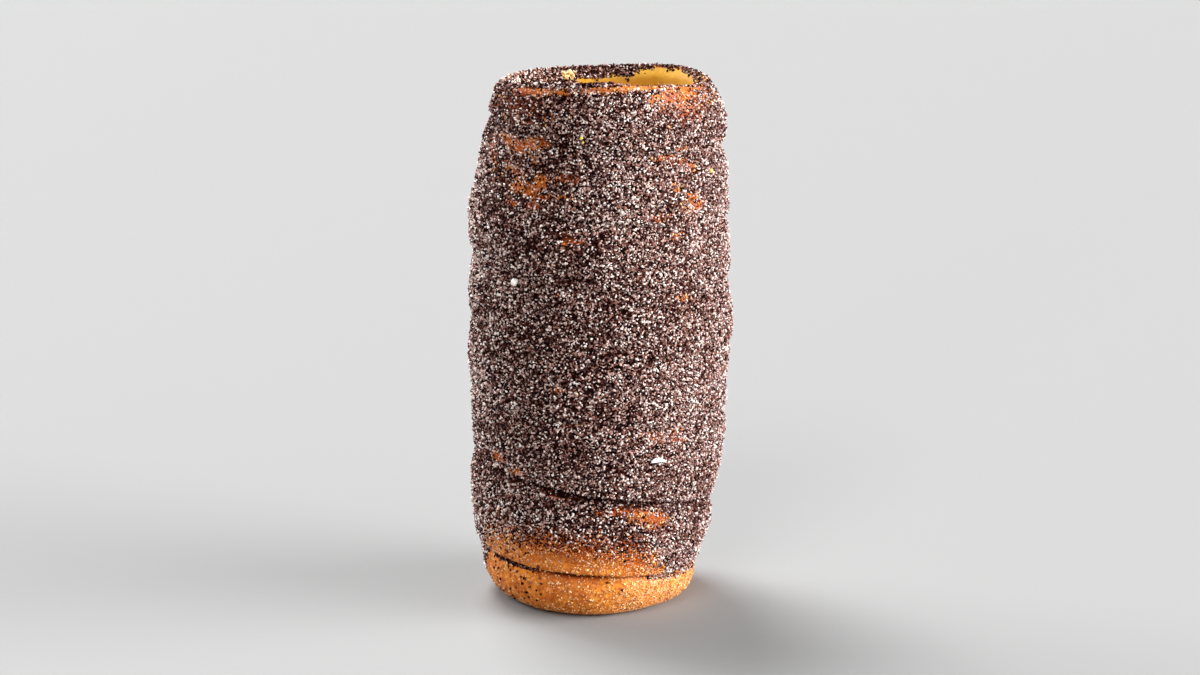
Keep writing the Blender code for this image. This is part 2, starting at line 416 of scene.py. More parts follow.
    def rim_share(self, height: Array) -> Array:
        """0 below the rim's rounding and 1 at its crest."""
        start = self.wall_outline[-1][0] * self.height
        return ramp(start, self.height, height) ** self.rim_pinch_power

    def bore_radius(self, height: Array) -> Array:
        """Radius of the tapered bore that the spit leaves."""
        return self.bore_radius_foot + (self.bore_radius_rim - self.bore_radius_foot) * height / self.height


class Skin(Enum):
    """Material slots of the dough."""

    CRUST = 0
    BORE = 1


@dataclass
class WallGrid(Rows):
    """Grid of points over the dough, with what the coat and the finishes need to know of each."""

    points: Array
    azimuth: Array
    height: Array
    seam_distance: Array
    hollow: Array
    pit: Array
    inside: Array

    @property
    def degrees(self) -> Array:
        """Azimuth of each point in degrees."""
        return wrapped(np.degrees(self.azimuth))

    @property
    def level(self) -> Array:
        """Height of each point above the ground."""
        return self.points[:, 2]


@dataclass
class Fold:
    """Crease pressed in across the ribbons: its middle, half sizes, depth, and climb in metres a degree."""

    azimuth: float
    height: float
    half_width: float
    half_height: float
    depth: float
    climb: float = 0.0
    end_power: ClassVar[int] = 4
    lip_share: ClassVar[float] = 0.3
    lip: ClassVar[Hump] = (-2.0, 1.1)

    def relief(self, degrees: Array, level: Array) -> Array:
        """How far the wall stands out along the fold: in at its crease, out at the lip below it.

        Args:
            degrees: azimuth in degrees.
            level: height above the ground.

        Returns:
            The relief, negative in the crease.
        """
        across = wrapped(degrees - self.azimuth)
        above = (level - self.height - self.climb * across) / self.half_height
        crease = hump(above) - self.lip_share * hump(above, *self.lip)
        return -self.depth * hump(across, 0.0, self.half_width, self.end_power) * crease


@dataclass
class Folds:
    """All folds: those that the front shows and chance ones all round."""

    placed: Sequence[Fold] = tuple(Fold(*row) for row in (
        (-45, 0.1852, 19, 0.0009, 0.002, 0.000025), (-12, 0.195, 12, 0.0017, 0.0008),
        (-18, 0.1613, 9, 0.0008, 0.001, -0.00015), (12, 0.158, 9, 0.0008, 0.001),
        (-15.5, 0.1494, 7, 0.0009, 0.0013), (4.5, 0.1411, 7, 0.0008, 0.0009),
        (-12, 0.133, 10, 0.001, 0.0014), (-35, 0.1193, 15, 0.0008, 0.001, 0.00013),
        (3, 0.1106, 8, 0.0008, 0.0009), (6, 0.1062, 7, 0.0008, 0.0008),
        (-32, 0.0862, 19, 0.001, 0.0014, 0.00007), (8.5, 0.0787, 8, 0.001, 0.001),
        (-6, 0.0697, 9, 0.001, 0.0009), (26.5, 0.122, 6, 0.0008, 0.0008),
    ))
    chance_count: int = 110
    chance_seed: int = 19
    chance_heights: Limits = (0.034, 0.19)
    chance_half_widths: Limits = (4.0, 15.0)
    chance_half_heights: Limits = (0.0006, 0.0012)
    chance_depths: Limits = (0.0003, 0.001)
    chance_climb: float = 0.00005

    def every_fold(self) -> list[Fold]:
        """Placed folds and chance ones, the same each run.

        Returns:
            The folds.
        """
        draw = np.random.default_rng(self.chance_seed)
        chance = [
            Fold(
                draw.uniform(-180, 180),
                draw.uniform(*self.chance_heights),
                draw.uniform(*self.chance_half_widths),
                draw.uniform(*self.chance_half_heights),
                draw.uniform(*self.chance_depths),
                draw.uniform(-self.chance_climb, self.chance_climb),
            )
            for _ in range(self.chance_count)
        ]
        return [*self.placed, *chance]

    def relief(self, degrees: Array, level: Array) -> Array:
        """Relief of all folds together.

        Args:
            degrees: azimuth in degrees.
            level: height above the ground.

        Returns:
            The relief, negative in the creases.
        """
        total = np.zeros(np.broadcast(degrees, level).shape)
        for fold in self.every_fold():
            total += fold.relief(degrees, level)
        return total


@dataclass
class Patch:
    """Place where the coat differs: its middle, half sizes, sugar left, seeds missing and its bake."""

    azimuth: float
    height: float
    half_width: float
    half_height: float
    sugar: float
    bareness: float = 0.0
    bake: float = 0.0
    fraying: ClassVar[float] = 0.7

    def share(self, ground: "Ground") -> Array:
        """How far each point lies in the patch.

        Args:
            ground: points of the dough.

        Returns:
            1 in the patch and 0 outside.
        """
        across = wrapped(ground.degrees - self.azimuth) / self.half_width
        up = (ground.grid.level - self.height) / self.half_height
        away = (across**2 + up**2) * (1 + self.fraying * ground.ragged)
        return hump(np.clip(away, 0, None))


# Where the sugar lies thinner or thicker on the front and the rim, and the places that are a little bare.
TONES = tuple(Patch(*row) for row in (
    (-54, 0.157, 18, 0.011, 0.45), (-64, 0.169, 10, 0.013, 0.6), (-105, 0.186, 36, 0.013, 0.42, 0.0, 0.15),
    (-8, 0.101, 11, 0.015, 0.75), (-24, 0.118, 10, 0.008, 0.72), (-4, 0.1855, 18, 0.007, 1.55),
    (-42, 0.123, 9, 0.009, 1.35), (-12, 0.148, 14, 0.006, 0.6), (-56, 0.1965, 24, 0.0075, 0.4),
    (-100, 0.1985, 42, 0.006, 0.4, 0.12, 0.5), (150, 0.1995, 48, 0.005, 0.14),
    (80, 0.1975, 24, 0.006, 0.45, 0.22, 0.4), (8, 0.2043, 44, 0.0009, 0.3), (-32, 0.0828, 26, 0.003, 0.6),
    (-34, 0.1425, 22, 0.0032, 0.55), (-47, 0.113, 14, 0.008, 1.4), (-40, 0.0885, 13, 0.003, 1.45),
    (-2, 0.0785, 26, 0.0032, 0.6), (-66, 0.045, 9, 0.011, 0.6), (-54, 0.0705, 18, 0.0036, 0.55),
    (62, 0.039, 12, 0.011, 0.48), (-31, 0.0375, 15, 0.0052, 1.5), (0, 0.178, 9, 0.004, 1.5),
    (56, 0.19, 14, 0.008, 0.75), (-47, 0.176, 20, 0.014, 0.8, 0.2, 0.35), (-38, 0.0755, 20, 0.0022, 0.6),
    (0, 0.176, 20, 0.012, 1.7), (14, 0.164, 13, 0.012, 1.35), (12, 0.142, 14, 0.012, 1.2),
    (40, 0.096, 11, 0.02, 1.45), (-12, 0.1335, 9, 0.004, 0.6), (-2, 0.087, 12, 0.006, 0.6),
    (-14, 0.069, 10, 0.006, 0.65), (20, 0.035, 14, 0.004, 0.5), (-50, 0.0372, 13, 0.0035, 0.75, 0.35, 0.6),
    (-24, 0.0345, 13, 0.003, 0.85, 0.2, 0.5), (-45, 0.1945, 22, 0.006, 0.8, 0.45, 0.8),
))

# Bare places below the rim, down the left and right of the front, and above the bare foot.
BARE_PLACES = tuple(Patch(*row) for row in (
    (40, 0.1998, 15, 0.0022, 0.8, 0.82, 0.15), (46, 0.1975, 17, 0.003, 1.0, 0.5, 0.4),
    (36, 0.1955, 14, 0.003, 1.0, 0.46, 0.45), (54, 0.1938, 12, 0.003, 1.0, 0.4, 0.48),
    (42, 0.1905, 14, 0.004, 1.0, 0.3, 0.6), (30, 0.199, 8, 0.0014, 1.1, 0.6, 0.15),
    (-44, 0.2003, 9, 0.0013, 0.6, 0.72, 0.5), (-60, 0.1826, 4, 0.0016, 0.7, 0.8, 0.5),
    (-50, 0.1812, 8, 0.002, 1.05, 0.88, 0.46), (-38, 0.1817, 9, 0.0023, 1.05, 0.88, 0.46),
    (-31, 0.1829, 3, 0.0012, 0.6, 0.8, 0.55), (-45, 0.1795, 5, 0.002, 0.7, 0.8, 0.55),
    (-66, 0.1762, 4, 0.0045, 0.8, 0.7, 0.55), (-52, 0.1747, 3, 0.0022, 0.5, 0.75, 0.9),
    (-46, 0.1703, 4, 0.0022, 0.8, 0.78, 0.55), (-31, 0.168, 4, 0.003, 0.5, 0.92, 0.45),
    (-36, 0.1648, 6, 0.0022, 0.65, 0.86, 0.45), (-27, 0.163, 6, 0.0012, 0.55, 0.85, 0.6),
    (-44, 0.1655, 4, 0.0016, 0.55, 0.82, 0.45), (-42, 0.1598, 4, 0.0012, 0.7, 0.75, 0.65),
    (-31, 0.1595, 4, 0.0012, 0.65, 0.75, 0.65), (-16, 0.17, 6, 0.0018, 0.35, 0.9, 0.8),
    (-13, 0.1492, 6, 0.0016, 0.3, 0.92, 0.8), (31, 0.1769, 7, 0.001, 0.75, 0.75, 0.45),
    (38, 0.1797, 3, 0.0012, 0.7, 0.7, 0.6), (39, 0.175, 6, 0.0014, 0.8, 0.72, 0.5),
    (46, 0.1723, 3, 0.0022, 0.8, 0.72, 0.5), (35, 0.1657, 4, 0.0014, 0.7, 0.7, 0.45),
    (44, 0.1607, 4, 0.0024, 0.85, 0.68, 0.45), (44, 0.1573, 6, 0.0016, 0.85, 0.68, 0.45),
    (50, 0.158, 4, 0.0015, 0.7, 0.75, 0.45), (31, 0.1555, 7, 0.0012, 0.75, 0.65, 0.65),
    (38, 0.1484, 6, 0.0012, 0.8, 0.6, 0.55), (40, 0.1243, 5, 0.0017, 0.7, 0.76, 0.45),
    (31, 0.0718, 8, 0.0018, 0.75, 0.75, 0.75), (23, 0.0737, 8, 0.001, 0.75, 0.7, 0.75),
    (39, 0.07, 5, 0.0014, 0.8, 0.65, 0.7), (-53, 0.0611, 6, 0.0022, 0.6, 0.88, 0.5),
    (-41, 0.0572, 6, 0.0018, 0.6, 0.85, 0.5), (-16, 0.05, 10, 0.0014, 0.4, 0.9, 0.75),
    (17, 0.0438, 9, 0.0022, 0.65, 0.82, 0.55), (27, 0.0404, 8, 0.0032, 0.6, 0.88, 0.5),
    (34, 0.0378, 6, 0.0028, 0.75, 0.75, 0.5), (9, 0.0432, 7, 0.0016, 0.7, 0.7, 0.65),
))

# Sugar that has gathered in folds, and on the foot.
SUGARY_PLACES = tuple(Patch(*row) for row in (
    (-16, 0.0914, 8, 0.001, 1.9, 0.45, 0.3), (-18, 0.1634, 6, 0.0009, 1.8, 0.4, 0.3),
    (-15, 0.1466, 7, 0.0009, 1.7, 0.3, 0.3), (-20, 0.1388, 8, 0.0009, 1.6, 0.3, 0.3),
    (-17, 0.1268, 7, 0.0009, 1.6, 0.3, 0.3), (12, 0.1297, 7, 0.0009, 1.7, 0.3, 0.3),
    (-36, 0.1069, 8, 0.001, 1.7, 0.3, 0.3), (-10, 0.0785, 7, 0.0009, 1.6, 0.3, 0.3),
    (24, 0.009, 26, 0.0075, 1.8),
))

# Bare places round the sides and the back.
HIDDEN_PLACES = tuple(Patch(*row) for row in (
    (118, 0.066, 10, 0.003, 0.6, 0.8, 0.6), (152, 0.134, 8, 0.0028, 0.55, 0.85, 0.45),
    (-150, 0.096, 9, 0.0026, 0.6, 0.8, 0.6), (-112, 0.15, 8, 0.003, 0.55, 0.85, 0.45),
    (-160, 0.18, 14, 0.0026, 0.6, 0.8, 0.5), (105, 0.182, 9, 0.0032, 0.6, 0.8, 0.5),
    (170, 0.042, 12, 0.0032, 0.5, 0.85, 0.3), (92, 0.11, 6, 0.002, 0.6, 0.8, 0.55),
    (-95, 0.05, 8, 0.002, 0.6, 0.8, 0.55),
))


# Chance patterns that the coat follows, each about -1 to 1.
PATTERNS = {
    "ragged": (Waves(0.006, 3.0), Waves(0.0022, 11.0, 0.6)),
    "streaks": (Waves(0.011, 31.0, 1.0, 2.6), Waves(0.0042, 37.0, 0.7, 2.2)),
    "broad": (Waves(0.026, 47.0, 1.0, 1.8),),
    "clumps": (Waves(0.0034, 53.0), Waves(0.0014, 59.0, 0.7)),
}


@dataclass
class Ground:
    """Points of the dough: their height above the bare foot, 1 along the front, and the patterns there."""

    grid: WallGrid
    degrees: Array
    above_foot: Array
    front: Array
    ragged: Array
    streaks: Array
    broad: Array
    clumps: Array


@dataclass(frozen=True)
class RimBand:
    """Narrow strip below the front of the rim, where the coat has rubbed off."""

    line: Points = (
        (-55, 0.1995), (-40, 0.2004), (-25, 0.2013), (-10, 0.2021), (5, 0.2027), (20, 0.203), (33, 0.2028),
        (45, 0.202), (58, 0.2005), (66, 0.1995),
    )
    half_height: float = 0.0012
    edge_power: int = 4
    arc: Arc = Arc(-60, -46, 64, 74)
    strength: float = 0.8
    raggedness: float = 0.7
    streakiness: float = 0.5
    sugar_loss: float = 0.5
    bake: float = 0.12
    more_bake_left: float = 0.28
    left: Step = (10, -15)

    def share(self, ground: Ground) -> Array:
        """How far each point lies in the strip.

        Args:
            ground: points of the dough.

        Returns:
            1 in the strip and 0 outside.
        """
        line = curve(self.line, ground.degrees)
        strip = hump(ground.grid.level, line, self.half_height, self.edge_power)
        worn = self.strength + self.raggedness * ground.ragged + self.streakiness * ground.streaks
        return self.arc.share(ground.degrees) * strip * np.clip(worn, 0, 1)

    def darkness(self, share: Array, degrees: Array) -> Array:
        """How dark the strip has baked, by how far a point lies in it and its azimuth in degrees."""
        return share * (self.bake + self.more_bake_left * ease(*self.left, degrees))


@dataclass(frozen=True)
class LowestSeam:
    """Seeds and sugar that are stuck in the lowest seam, at its left and its right."""

    below: float = 0.03
    half_width: float = 0.001
    left: Arc = Arc(-70, -62, -34, -26)
    right: Step = (24, 34)
    right_share: float = 0.6
    seeds: float = 0.8
    sugar_right: float = 0.4
    sugar_loss: float = 0.8

    def filled(self, ground: Ground, seeds: Array, sugar: Array) -> tuple[Array, Array]:
        """Fills the seam.

        Args:
            ground: points of the dough.
            seeds: seed cover before.
            sugar: sugar cover before.

        Returns:
            Seed cover and sugar cover after.
        """
        in_seam = (ground.grid.height < self.below) & (ground.grid.seam_distance < self.half_width)
        right = ease(*self.right, ground.degrees)
        stuck = self.left.share(ground.degrees) + self.right_share * right
        seeds_there = np.maximum(seeds, self.seeds * stuck)
        sugar_there = np.maximum(sugar * (1 - self.sugar_loss * stuck), self.sugar_right * right)
        return np.where(in_seam, seeds_there, seeds), np.where(in_seam, sugar_there, sugar)


@dataclass(frozen=True)
class Fringe:
    """Lowest centimetre of the front's coat, with little sugar over a crust that has baked dark."""

    arc: Arc = Arc(-90, -60, 24, 42)
    left: Step = (-28, -46)
    left_loss: float = 0.65
    sugar_loss: float = 0.8
    sugar_heights: Hump = (0.009, 0.0075)
    bake: float = 0.6
    bake_heights: Hump = (0.008, 0.0075)
    streakiness: float = 0.9
    limits: Limits = (0.2, 1.2)

    def strength(self, ground: Ground) -> Array:
        """How strong the fringe is round the cake."""
        return ground.front * (1 - self.left_loss * ease(*self.left, ground.degrees))

    def sugar_left(self, ground: Ground) -> Array:
        """Share of the sugar that is left."""
        lost = self.sugar_loss * self.strength(ground)
        return 1 - lost * hump(ground.above_foot, *self.sugar_heights)

    def darkness(self, ground: Ground) -> Array:
        """How dark the crust has baked."""
        uneven = self.strength(ground) * np.clip(1 + self.streakiness * ground.streaks, *self.limits)
        return self.bake * hump(ground.above_foot, *self.bake_heights) * uneven


@dataclass(frozen=True)
class MeltedSugarAndPaintedLight:
    """Golden sugar that has melted into the bare crust, in clumps, with more of it low on the foot as painted
    light.
    """

    everywhere: float = 0.34
    right: float = 0.34
    right_arc: Arc = Arc(-30, 40, 80, 120)
    fringe: float = 0.55
    fringe_heights: Hump = (0.001, 0.006)
    # Painted light: more golden sugar low on the foot makes its bottom edge brighter, as if lit from the
    # floor.
    foot: float = 0.45
    foot_painted_light_heights: Step = (0.006, 0.0015)
    evenness: float = 0.9
    clumping: float = 3.4
    clump_limits: Limits = (0.02, 3.0)
    hollow_loss: float = 0.6
    baked_loss: float = 0.85
    baked: Step = (0.3, 0.7)

    def share(self, ground: Ground) -> Array:
        """How much melted sugar, and painted light low on the foot, lies on crust that is wholly bare.

        Args:
            ground: points of the dough.

        Returns:
            Melted sugar with painted foot light at each point.
        """
        grid = ground.grid
        amount = self.everywhere + self.right * self.right_arc.share(ground.degrees)
        amount = amount + self.fringe * ground.front * hump(ground.above_foot, *self.fringe_heights)
        amount = amount + self.foot * ease(*self.foot_painted_light_heights, grid.height)
        clumps = np.clip(self.evenness + self.clumping * ground.clumps + ground.streaks, *self.clump_limits)
        return amount * clumps * (1 - grid.pit) * (1 - self.hollow_loss * grid.hollow)

    def baked_off(self, bake: Array) -> Array:
        """Share that is left where a patch has baked dark."""
        return 1 - self.baked_loss * ease(*self.baked, bake)


@dataclass(frozen=True)
class Browning:
    """Amber blotches of the bare crust, between the clumps of melted sugar."""

    blotches: Step = (-0.15, 0.4)
    clumping: float = -0.8
    streakiness: float = 0.6
    bake: float = 0.25
    less_right: float = 0.04
    right: Step = (-40, 20)
    pale_loss: float = 0.7
    pale_heights: Hump = (-0.0035, 0.003)

    def darkness(self, ground: Ground) -> Array:
        """How dark crust that is wholly bare has baked.

        Args:
            ground: points of the dough.

        Returns:
            Darkness from 0 to 1.
        """
        blotched = ease(*self.blotches, self.clumping * ground.clumps + self.streakiness * ground.streaks)
        amber = blotched * (self.bake - self.less_right * ease(*self.right, ground.degrees))
        return amber * (1 - self.pale_loss * hump(ground.above_foot, *self.pale_heights) * ground.front)


@dataclass(frozen=True)
class SugarFilmAndPaintedLight:
    """The finest sugar, a thin dust on the bare crust, thicker low on the foot as painted light."""

    everywhere: float = 0.1
    right: float = 0.34
    right_arc: Arc = Arc(-10, 35, 60, 100)
    right_heights: Step = (0.03, 0.02)
    # Painted light: a thicker dusting low on the foot makes its bottom edge paler, as if lit from the floor.
    foot: float = 0.5
    foot_painted_light_heights: Step = (0.007, 0.001)
    patch_loss: float = 0.7
    streakiness: float = 0.25

    def share(self, ground: Ground, bareness: Array) -> Array:
        """How thick the film is.

        Args:
            ground: points of the dough.
            bareness: how bare the patches are.

        Returns:
            The film from 0 to 1.
        """
        height = ground.grid.height
        right = self.right_arc.share(ground.degrees) * ease(*self.right_heights, height)
        film_and_painted_light = self.everywhere + self.right * right + self.foot * ease(*self.foot_painted_light_heights, height)
        return np.clip(film_and_painted_light * (1 - self.patch_loss * bareness) + self.streakiness * ground.streaks, 0, 1)


@dataclass(frozen=True)
class InnerCoat:
    """Coat just inside the rim: how far down it reaches, its sugar, and how thin it is, round the cake."""

    reach: Points = (
        (-180, 0.0043), (-170, 0.0039), (-163, 0.0046), (-150, 0.0085), (-110, 0.0085), (-80, 0.008),
        (-45, 0.0045), (0, 0.003), (60, 0.003), (88, 0.0074), (102, 0.0062), (110, 0.0036), (119, 0.0018),
        (128, 0.0013), (150, 0.0012), (157, 0.0015), (161, 0.0028), (166, 0.0043), (172, 0.0041),
        (180, 0.0046),
    )
    sugar: Points = (
        (-180, 0.28), (-150, 0.34), (-120, 0.46), (-60, 0.42), (0, 0.14), (60, 0.28), (120, 0.22),
        (180, 0.28),
    )
    thinness: Points = (
        (-180, 0.0), (-165, 0.02), (-145, 0.16), (-85, 0.22), (-50, 0.08), (-20, 0.0), (25, 0.0), (50, 0.12),
        (75, 0.26), (105, 0.22), (125, 0.0), (180, 0.0),
    )
    raggedness: float = 0.0016
    edge: Step = (0.0005, -0.0005)

    def share(self, ground: Ground, down: Array) -> Array:
        """1 where the coat lies and 0 below it, by depth below the rim."""
        past = down - curve(self.reach, ground.degrees) - self.raggedness * ground.ragged
        return ease(*self.edge, past)


@dataclass
class Coat:
    """How thickly seeds and sugar lie, from 0 to 1, round and up the cake."""

    tube: WoundTube
    bare_below: Points = (
        (-180, 0.009), (-120, 0.0085), (-90, 0.01), (-78, 0.0125), (-66, 0.0205), (-50, 0.0222),
        (-35, 0.0228), (-16, 0.0226), (-2, 0.0226), (14, 0.0208), (29, 0.0174), (42, 0.0138), (70, 0.0128),
        (100, 0.0115), (180, 0.009),
    )
    front: Arc = Arc(-75, -60, 30, 48)
    fade_front: float = 0.0185
    fade_back: float = 0.002
    edge_raggedness: float = 0.0014
    left_edge: Arc = Arc(-98, -82, -66, -54)
    left_edge_raggedness: float = 1.6
    full_sugar: float = 0.64
    sugar_reaches_down: float = 0.003
    sugar_fade: float = 0.0125
    dust: float = 0.01
    stray_seeds: float = 0.0012
    stray_seeds_left: float = 0.055
    stray_arc: Arc = Arc(-70, -60, -34, -22)
    stray_heights: Step = (0.002, 0.005)
    # Painted shade: the sugar is thinned over the left of the front, so that side, away from the key light,
    # looks darker.
    dark_left: Arc = Arc(-95, -60, -12, 12)
    dark_left_loss: float = 0.23
    sugar_streakiness: float = 0.65
    sugar_breadth: float = 0.5
    sugar_limits: Limits = (0.25, 1.7)
    hollow_sugar_loss: float = 0.8
    seed_streakiness: float = 0.2
    seed_limits: Limits = (0.6, 1.0)
    pit_seed_loss: float = 0.45
    # Painted shade: how far the seam and fold hollows are darkened towards the near-black baked colour.
    hollow_painted_shade: float = 0.6
    bare_at: Step = (0.0, 0.6)
    patch_bareness: float = 0.8
    patch_bake_spread: float = 1.5
    patches: Sequence[Patch] = (*TONES, *BARE_PLACES, *SUGARY_PLACES, *HIDDEN_PLACES)
    rim_band: RimBand = RimBand()
    lowest_seam: LowestSeam = LowestSeam()
    fringe: Fringe = Fringe()
    melted_sugar: MeltedSugarAndPaintedLight = MeltedSugarAndPaintedLight()
    browning: Browning = Browning()
    film_and_painted_light: SugarFilmAndPaintedLight = SugarFilmAndPaintedLight()
    inner: InnerCoat = InnerCoat()

    def wall_edges(self, ground: Ground) -> tuple[Array, Array]:
        """Seeds and sugar up the outer wall, before patches.

        Args:
            ground: points of the dough.

        Returns:
            Seed cover and sugar cover.
        """
        degrees = ground.degrees
        front = self.front.share(degrees)
        fade = self.fade_back + (self.fade_front - self.fade_back) * front
        fray = self.edge_raggedness * (1 + self.left_edge_raggedness * self.left_edge.share(degrees))
        from_edge = ground.above_foot - fray * ground.ragged
        seeds = ease(0, 1, from_edge / fade)
        sugar_fade = fade + (self.sugar_fade - fade) * front
        sugar = ease(0, 1, (from_edge + self.sugar_reaches_down * front) / sugar_fade)
        left = self.stray_arc.share(degrees) * ease(*self.stray_heights, ground.grid.height)
        strays = self.stray_seeds + self.stray_seeds_left * left
        return np.maximum(seeds, strays), self.full_sugar * (self.dust + (1 - self.dust) * sugar)

    def patched(self, ground: Ground, seeds: Array, sugar: Array) -> tuple[Array, Array, Array, Array]:
        """Works the patches in.

        Args:
            ground: points of the dough.
            seeds: seed cover before.
            sugar: sugar cover before.

        Returns:
            Seed cover and sugar cover after, and the bareness and the bake of the patches.
        """
        bareness, bake = np.zeros_like(seeds), np.zeros_like(seeds)
        for patch in self.patches:
            share = patch.share(ground)
            bareness = np.maximum(bareness, patch.bareness * share)
            seeds = seeds * (1 - patch.bareness * share)
            sugar = sugar * (1 + (patch.sugar - 1) * share)
            bake = np.maximum(bake, patch.bake * np.minimum(1, self.patch_bake_spread * share))
        return seeds, sugar, bareness, bake

    def over(self, grid: WallGrid) -> dict[str, Array]:
        """Thickness of the coat over the whole dough.

        Args:
            grid: points over the dough.

        Returns:
            Seed and sugar cover, melted sugar and dusting with painted foot light, bake darkness with painted
            shade, each from 0 to 1.
        """
        degrees = grid.degrees
        above_foot = grid.height - curve(self.bare_below, degrees)
        patterns = {name: layered(layers, grid.points) for name, layers in PATTERNS.items()}
        ground = Ground(grid, degrees, above_foot, self.fringe.arc.share(degrees), **patterns)
        seeds, sugar, bareness, patch_bake = self.patched(ground, *self.wall_edges(ground))
        band = self.rim_band.share(ground)
        sugar = sugar * (1 - self.rim_band.sugar_loss * band)
        seeds, sugar = self.lowest_seam.filled(ground, seeds * (1 - band), sugar)

        uneven = 1 + self.sugar_streakiness * ground.streaks + self.sugar_breadth * ground.broad
        # Painted shade: less sugar on the left of the front.
        sugar = sugar * (1 - self.dark_left_loss * self.dark_left.share(degrees))
        sugar = sugar * self.fringe.sugar_left(ground) * np.clip(uneven, *self.sugar_limits)
        sugar = sugar * (1 - self.hollow_sugar_loss * grid.hollow)
        seeds = seeds * np.clip(1 - self.seed_streakiness * ground.streaks, *self.seed_limits)
        seeds, sugar = seeds * (1 - self.pit_seed_loss * grid.pit), sugar * (1 - grid.pit)

        bare = np.maximum(1 - ramp(*self.bare_at, seeds), self.patch_bareness * bareness)
        # The melted sugar also carries painted light low on the foot.
        melted = bare * self.melted_sugar.share(ground) * self.melted_sugar.baked_off(patch_bake)
        bake = np.maximum.reduce([
            patch_bake,
            self.rim_band.darkness(band, degrees),
            self.fringe.darkness(ground),
            bare * self.browning.darkness(ground),
        ])
        inner = self.inner.share(ground, self.tube.height - grid.height)
        inner_sugar = curve(self.inner.sugar, degrees)
        thinness = curve(self.inner.thinness, degrees)
        return {
            "cover": np.where(grid.inside, inner * (1 - thinness), seeds),
            "sugar": np.clip(np.where(grid.inside, inner * inner_sugar, sugar), 0, 1),
            "melted": np.clip(np.where(grid.inside, inner * thinness, melted), 0, 1),
            # The bake value also carries painted shade: hollows and the pits of open seams and folds are
            # darkened towards black.
            "bake": np.clip(bake + self.hollow_painted_shade * grid.hollow + grid.pit, 0, 1),
            "film_and_painted_light": self.film_and_painted_light.share(ground, bareness),
        }


def mesh_from_arrays(name: str, points: Array, faces: Array) -> MeshData:
    """Makes a mesh from arrays.

    Args:
        name: name of the mesh.
        points: corners, one a row.
        faces: corner numbers, one face a row, all faces with as many corners.

    Returns:
        The mesh.
    """
    data = bpy.data.meshes.new(name)
    data.vertices.add(len(points))
    data.vertices.foreach_set("co", points.astype(np.float32).ravel())
    data.loops.add(faces.size)
    data.loops.foreach_set("vertex_index", faces.astype(np.int32).ravel())
    data.polygons.add(len(faces))
    data.polygons.foreach_set("loop_start", np.arange(len(faces), dtype=np.int32) * faces.shape[1])
    data.update(calc_edges=True)
    return data


def add_values(data: MeshData, name: str, values: Array) -> None:
    """Keeps a number for each corner of a mesh, under the name that a material reads."""
    layer = data.attributes.new(name, "FLOAT", "POINT")
    layer.data.foreach_set("value", values.astype(np.float32).ravel())


def show(name: str, data: MeshData) -> None:
    """Puts a mesh in the scene as a piece of the cake, and reports it.

    Args:
        name: name of the piece.
        data: its mesh.
    """
    piece = bpy.data.objects.new(name, data)
    bpy.context.scene.collection.objects.link(piece)
    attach(piece, CAKE_BODY)
    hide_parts(CAKE_NODE)
    log.info("%s: %d faces", name, len(data.polygons))


class Wiring:
    """Adds nodes to one shader tree and joins them."""

    def __init__(self, tree: Tree) -> None:
        """Takes the tree that the nodes go into."""
        self.tree = tree

    def add(self, kind: str, values: dict | None = None, **settings: object) -> bpy.types.Node:
        """Adds a node.

        Args:
            kind: Blender's name for the node.
            values: what goes into each input, by name or number: an output to join, or a plain value.
            settings: the node's own properties.

        Returns:
            The node.
        """
        node = self.tree.nodes.new(kind)
        for key, value in settings.items():
            setattr(node, key, value)
        for key, value in (values or {}).items():
            self.feed(node.inputs[key], value)
        return node

    def feed(self, socket: Socket, value: object) -> None:
        """Joins an output to an input, or sets the input.

        Args:
            socket: the input.
            value: an output to join, or a plain value.
        """
        if isinstance(value, Socket):
            self.tree.links.new(value, socket)
        else:
            socket.default_value = value

    def mix(self, share: object, first: object, second: object) -> Socket:
        """Output with two colours mixed, by the second one's share."""
        values = {0: share, 6: first, 7: second}
        return self.add("ShaderNodeMix", values, data_type="RGBA").outputs[2]

    def sums(self, operation: str, *terms: object) -> Socket:
        """Output with the result of one step of arithmetic, by Blender's name for it."""
        return self.add("ShaderNodeMath", dict(enumerate(terms)), operation=operation).outputs[0]

    def stretch(self, value: object, low: object, high: object) -> Socket:
        """Output with the values from low to high stretched to 0 to 1."""
        return self.add("ShaderNodeMapRange", {0: value, 1: low, 2: high}).outputs[0]

    def place(self) -> Socket:
        """Output with each point's own place in metres."""
        return self.add("ShaderNodeTexCoord").outputs["Object"]

    def attribute(self, name: str) -> Socket:
        """Output with a number kept on the mesh."""
        return self.add("ShaderNodeAttribute", attribute_name=name).outputs["Fac"]

    def bump(self, height: Socket, distance: float, strength: float) -> Socket:
        """Output with the surface's direction, bumped by a height of 0 to 1 times the distance."""
        values = {"Height": height, "Distance": distance, "Strength": strength}
        return self.add("ShaderNodeBump", values).outputs["Normal"]


def solid(colour: Colour) -> tuple[float, float, float, float]:
    """Colour with full cover, as a socket takes it."""
    return (*colour, 1.0)


NUMBER = "NodeSocketFloat"
COLOUR = "NodeSocketColor"


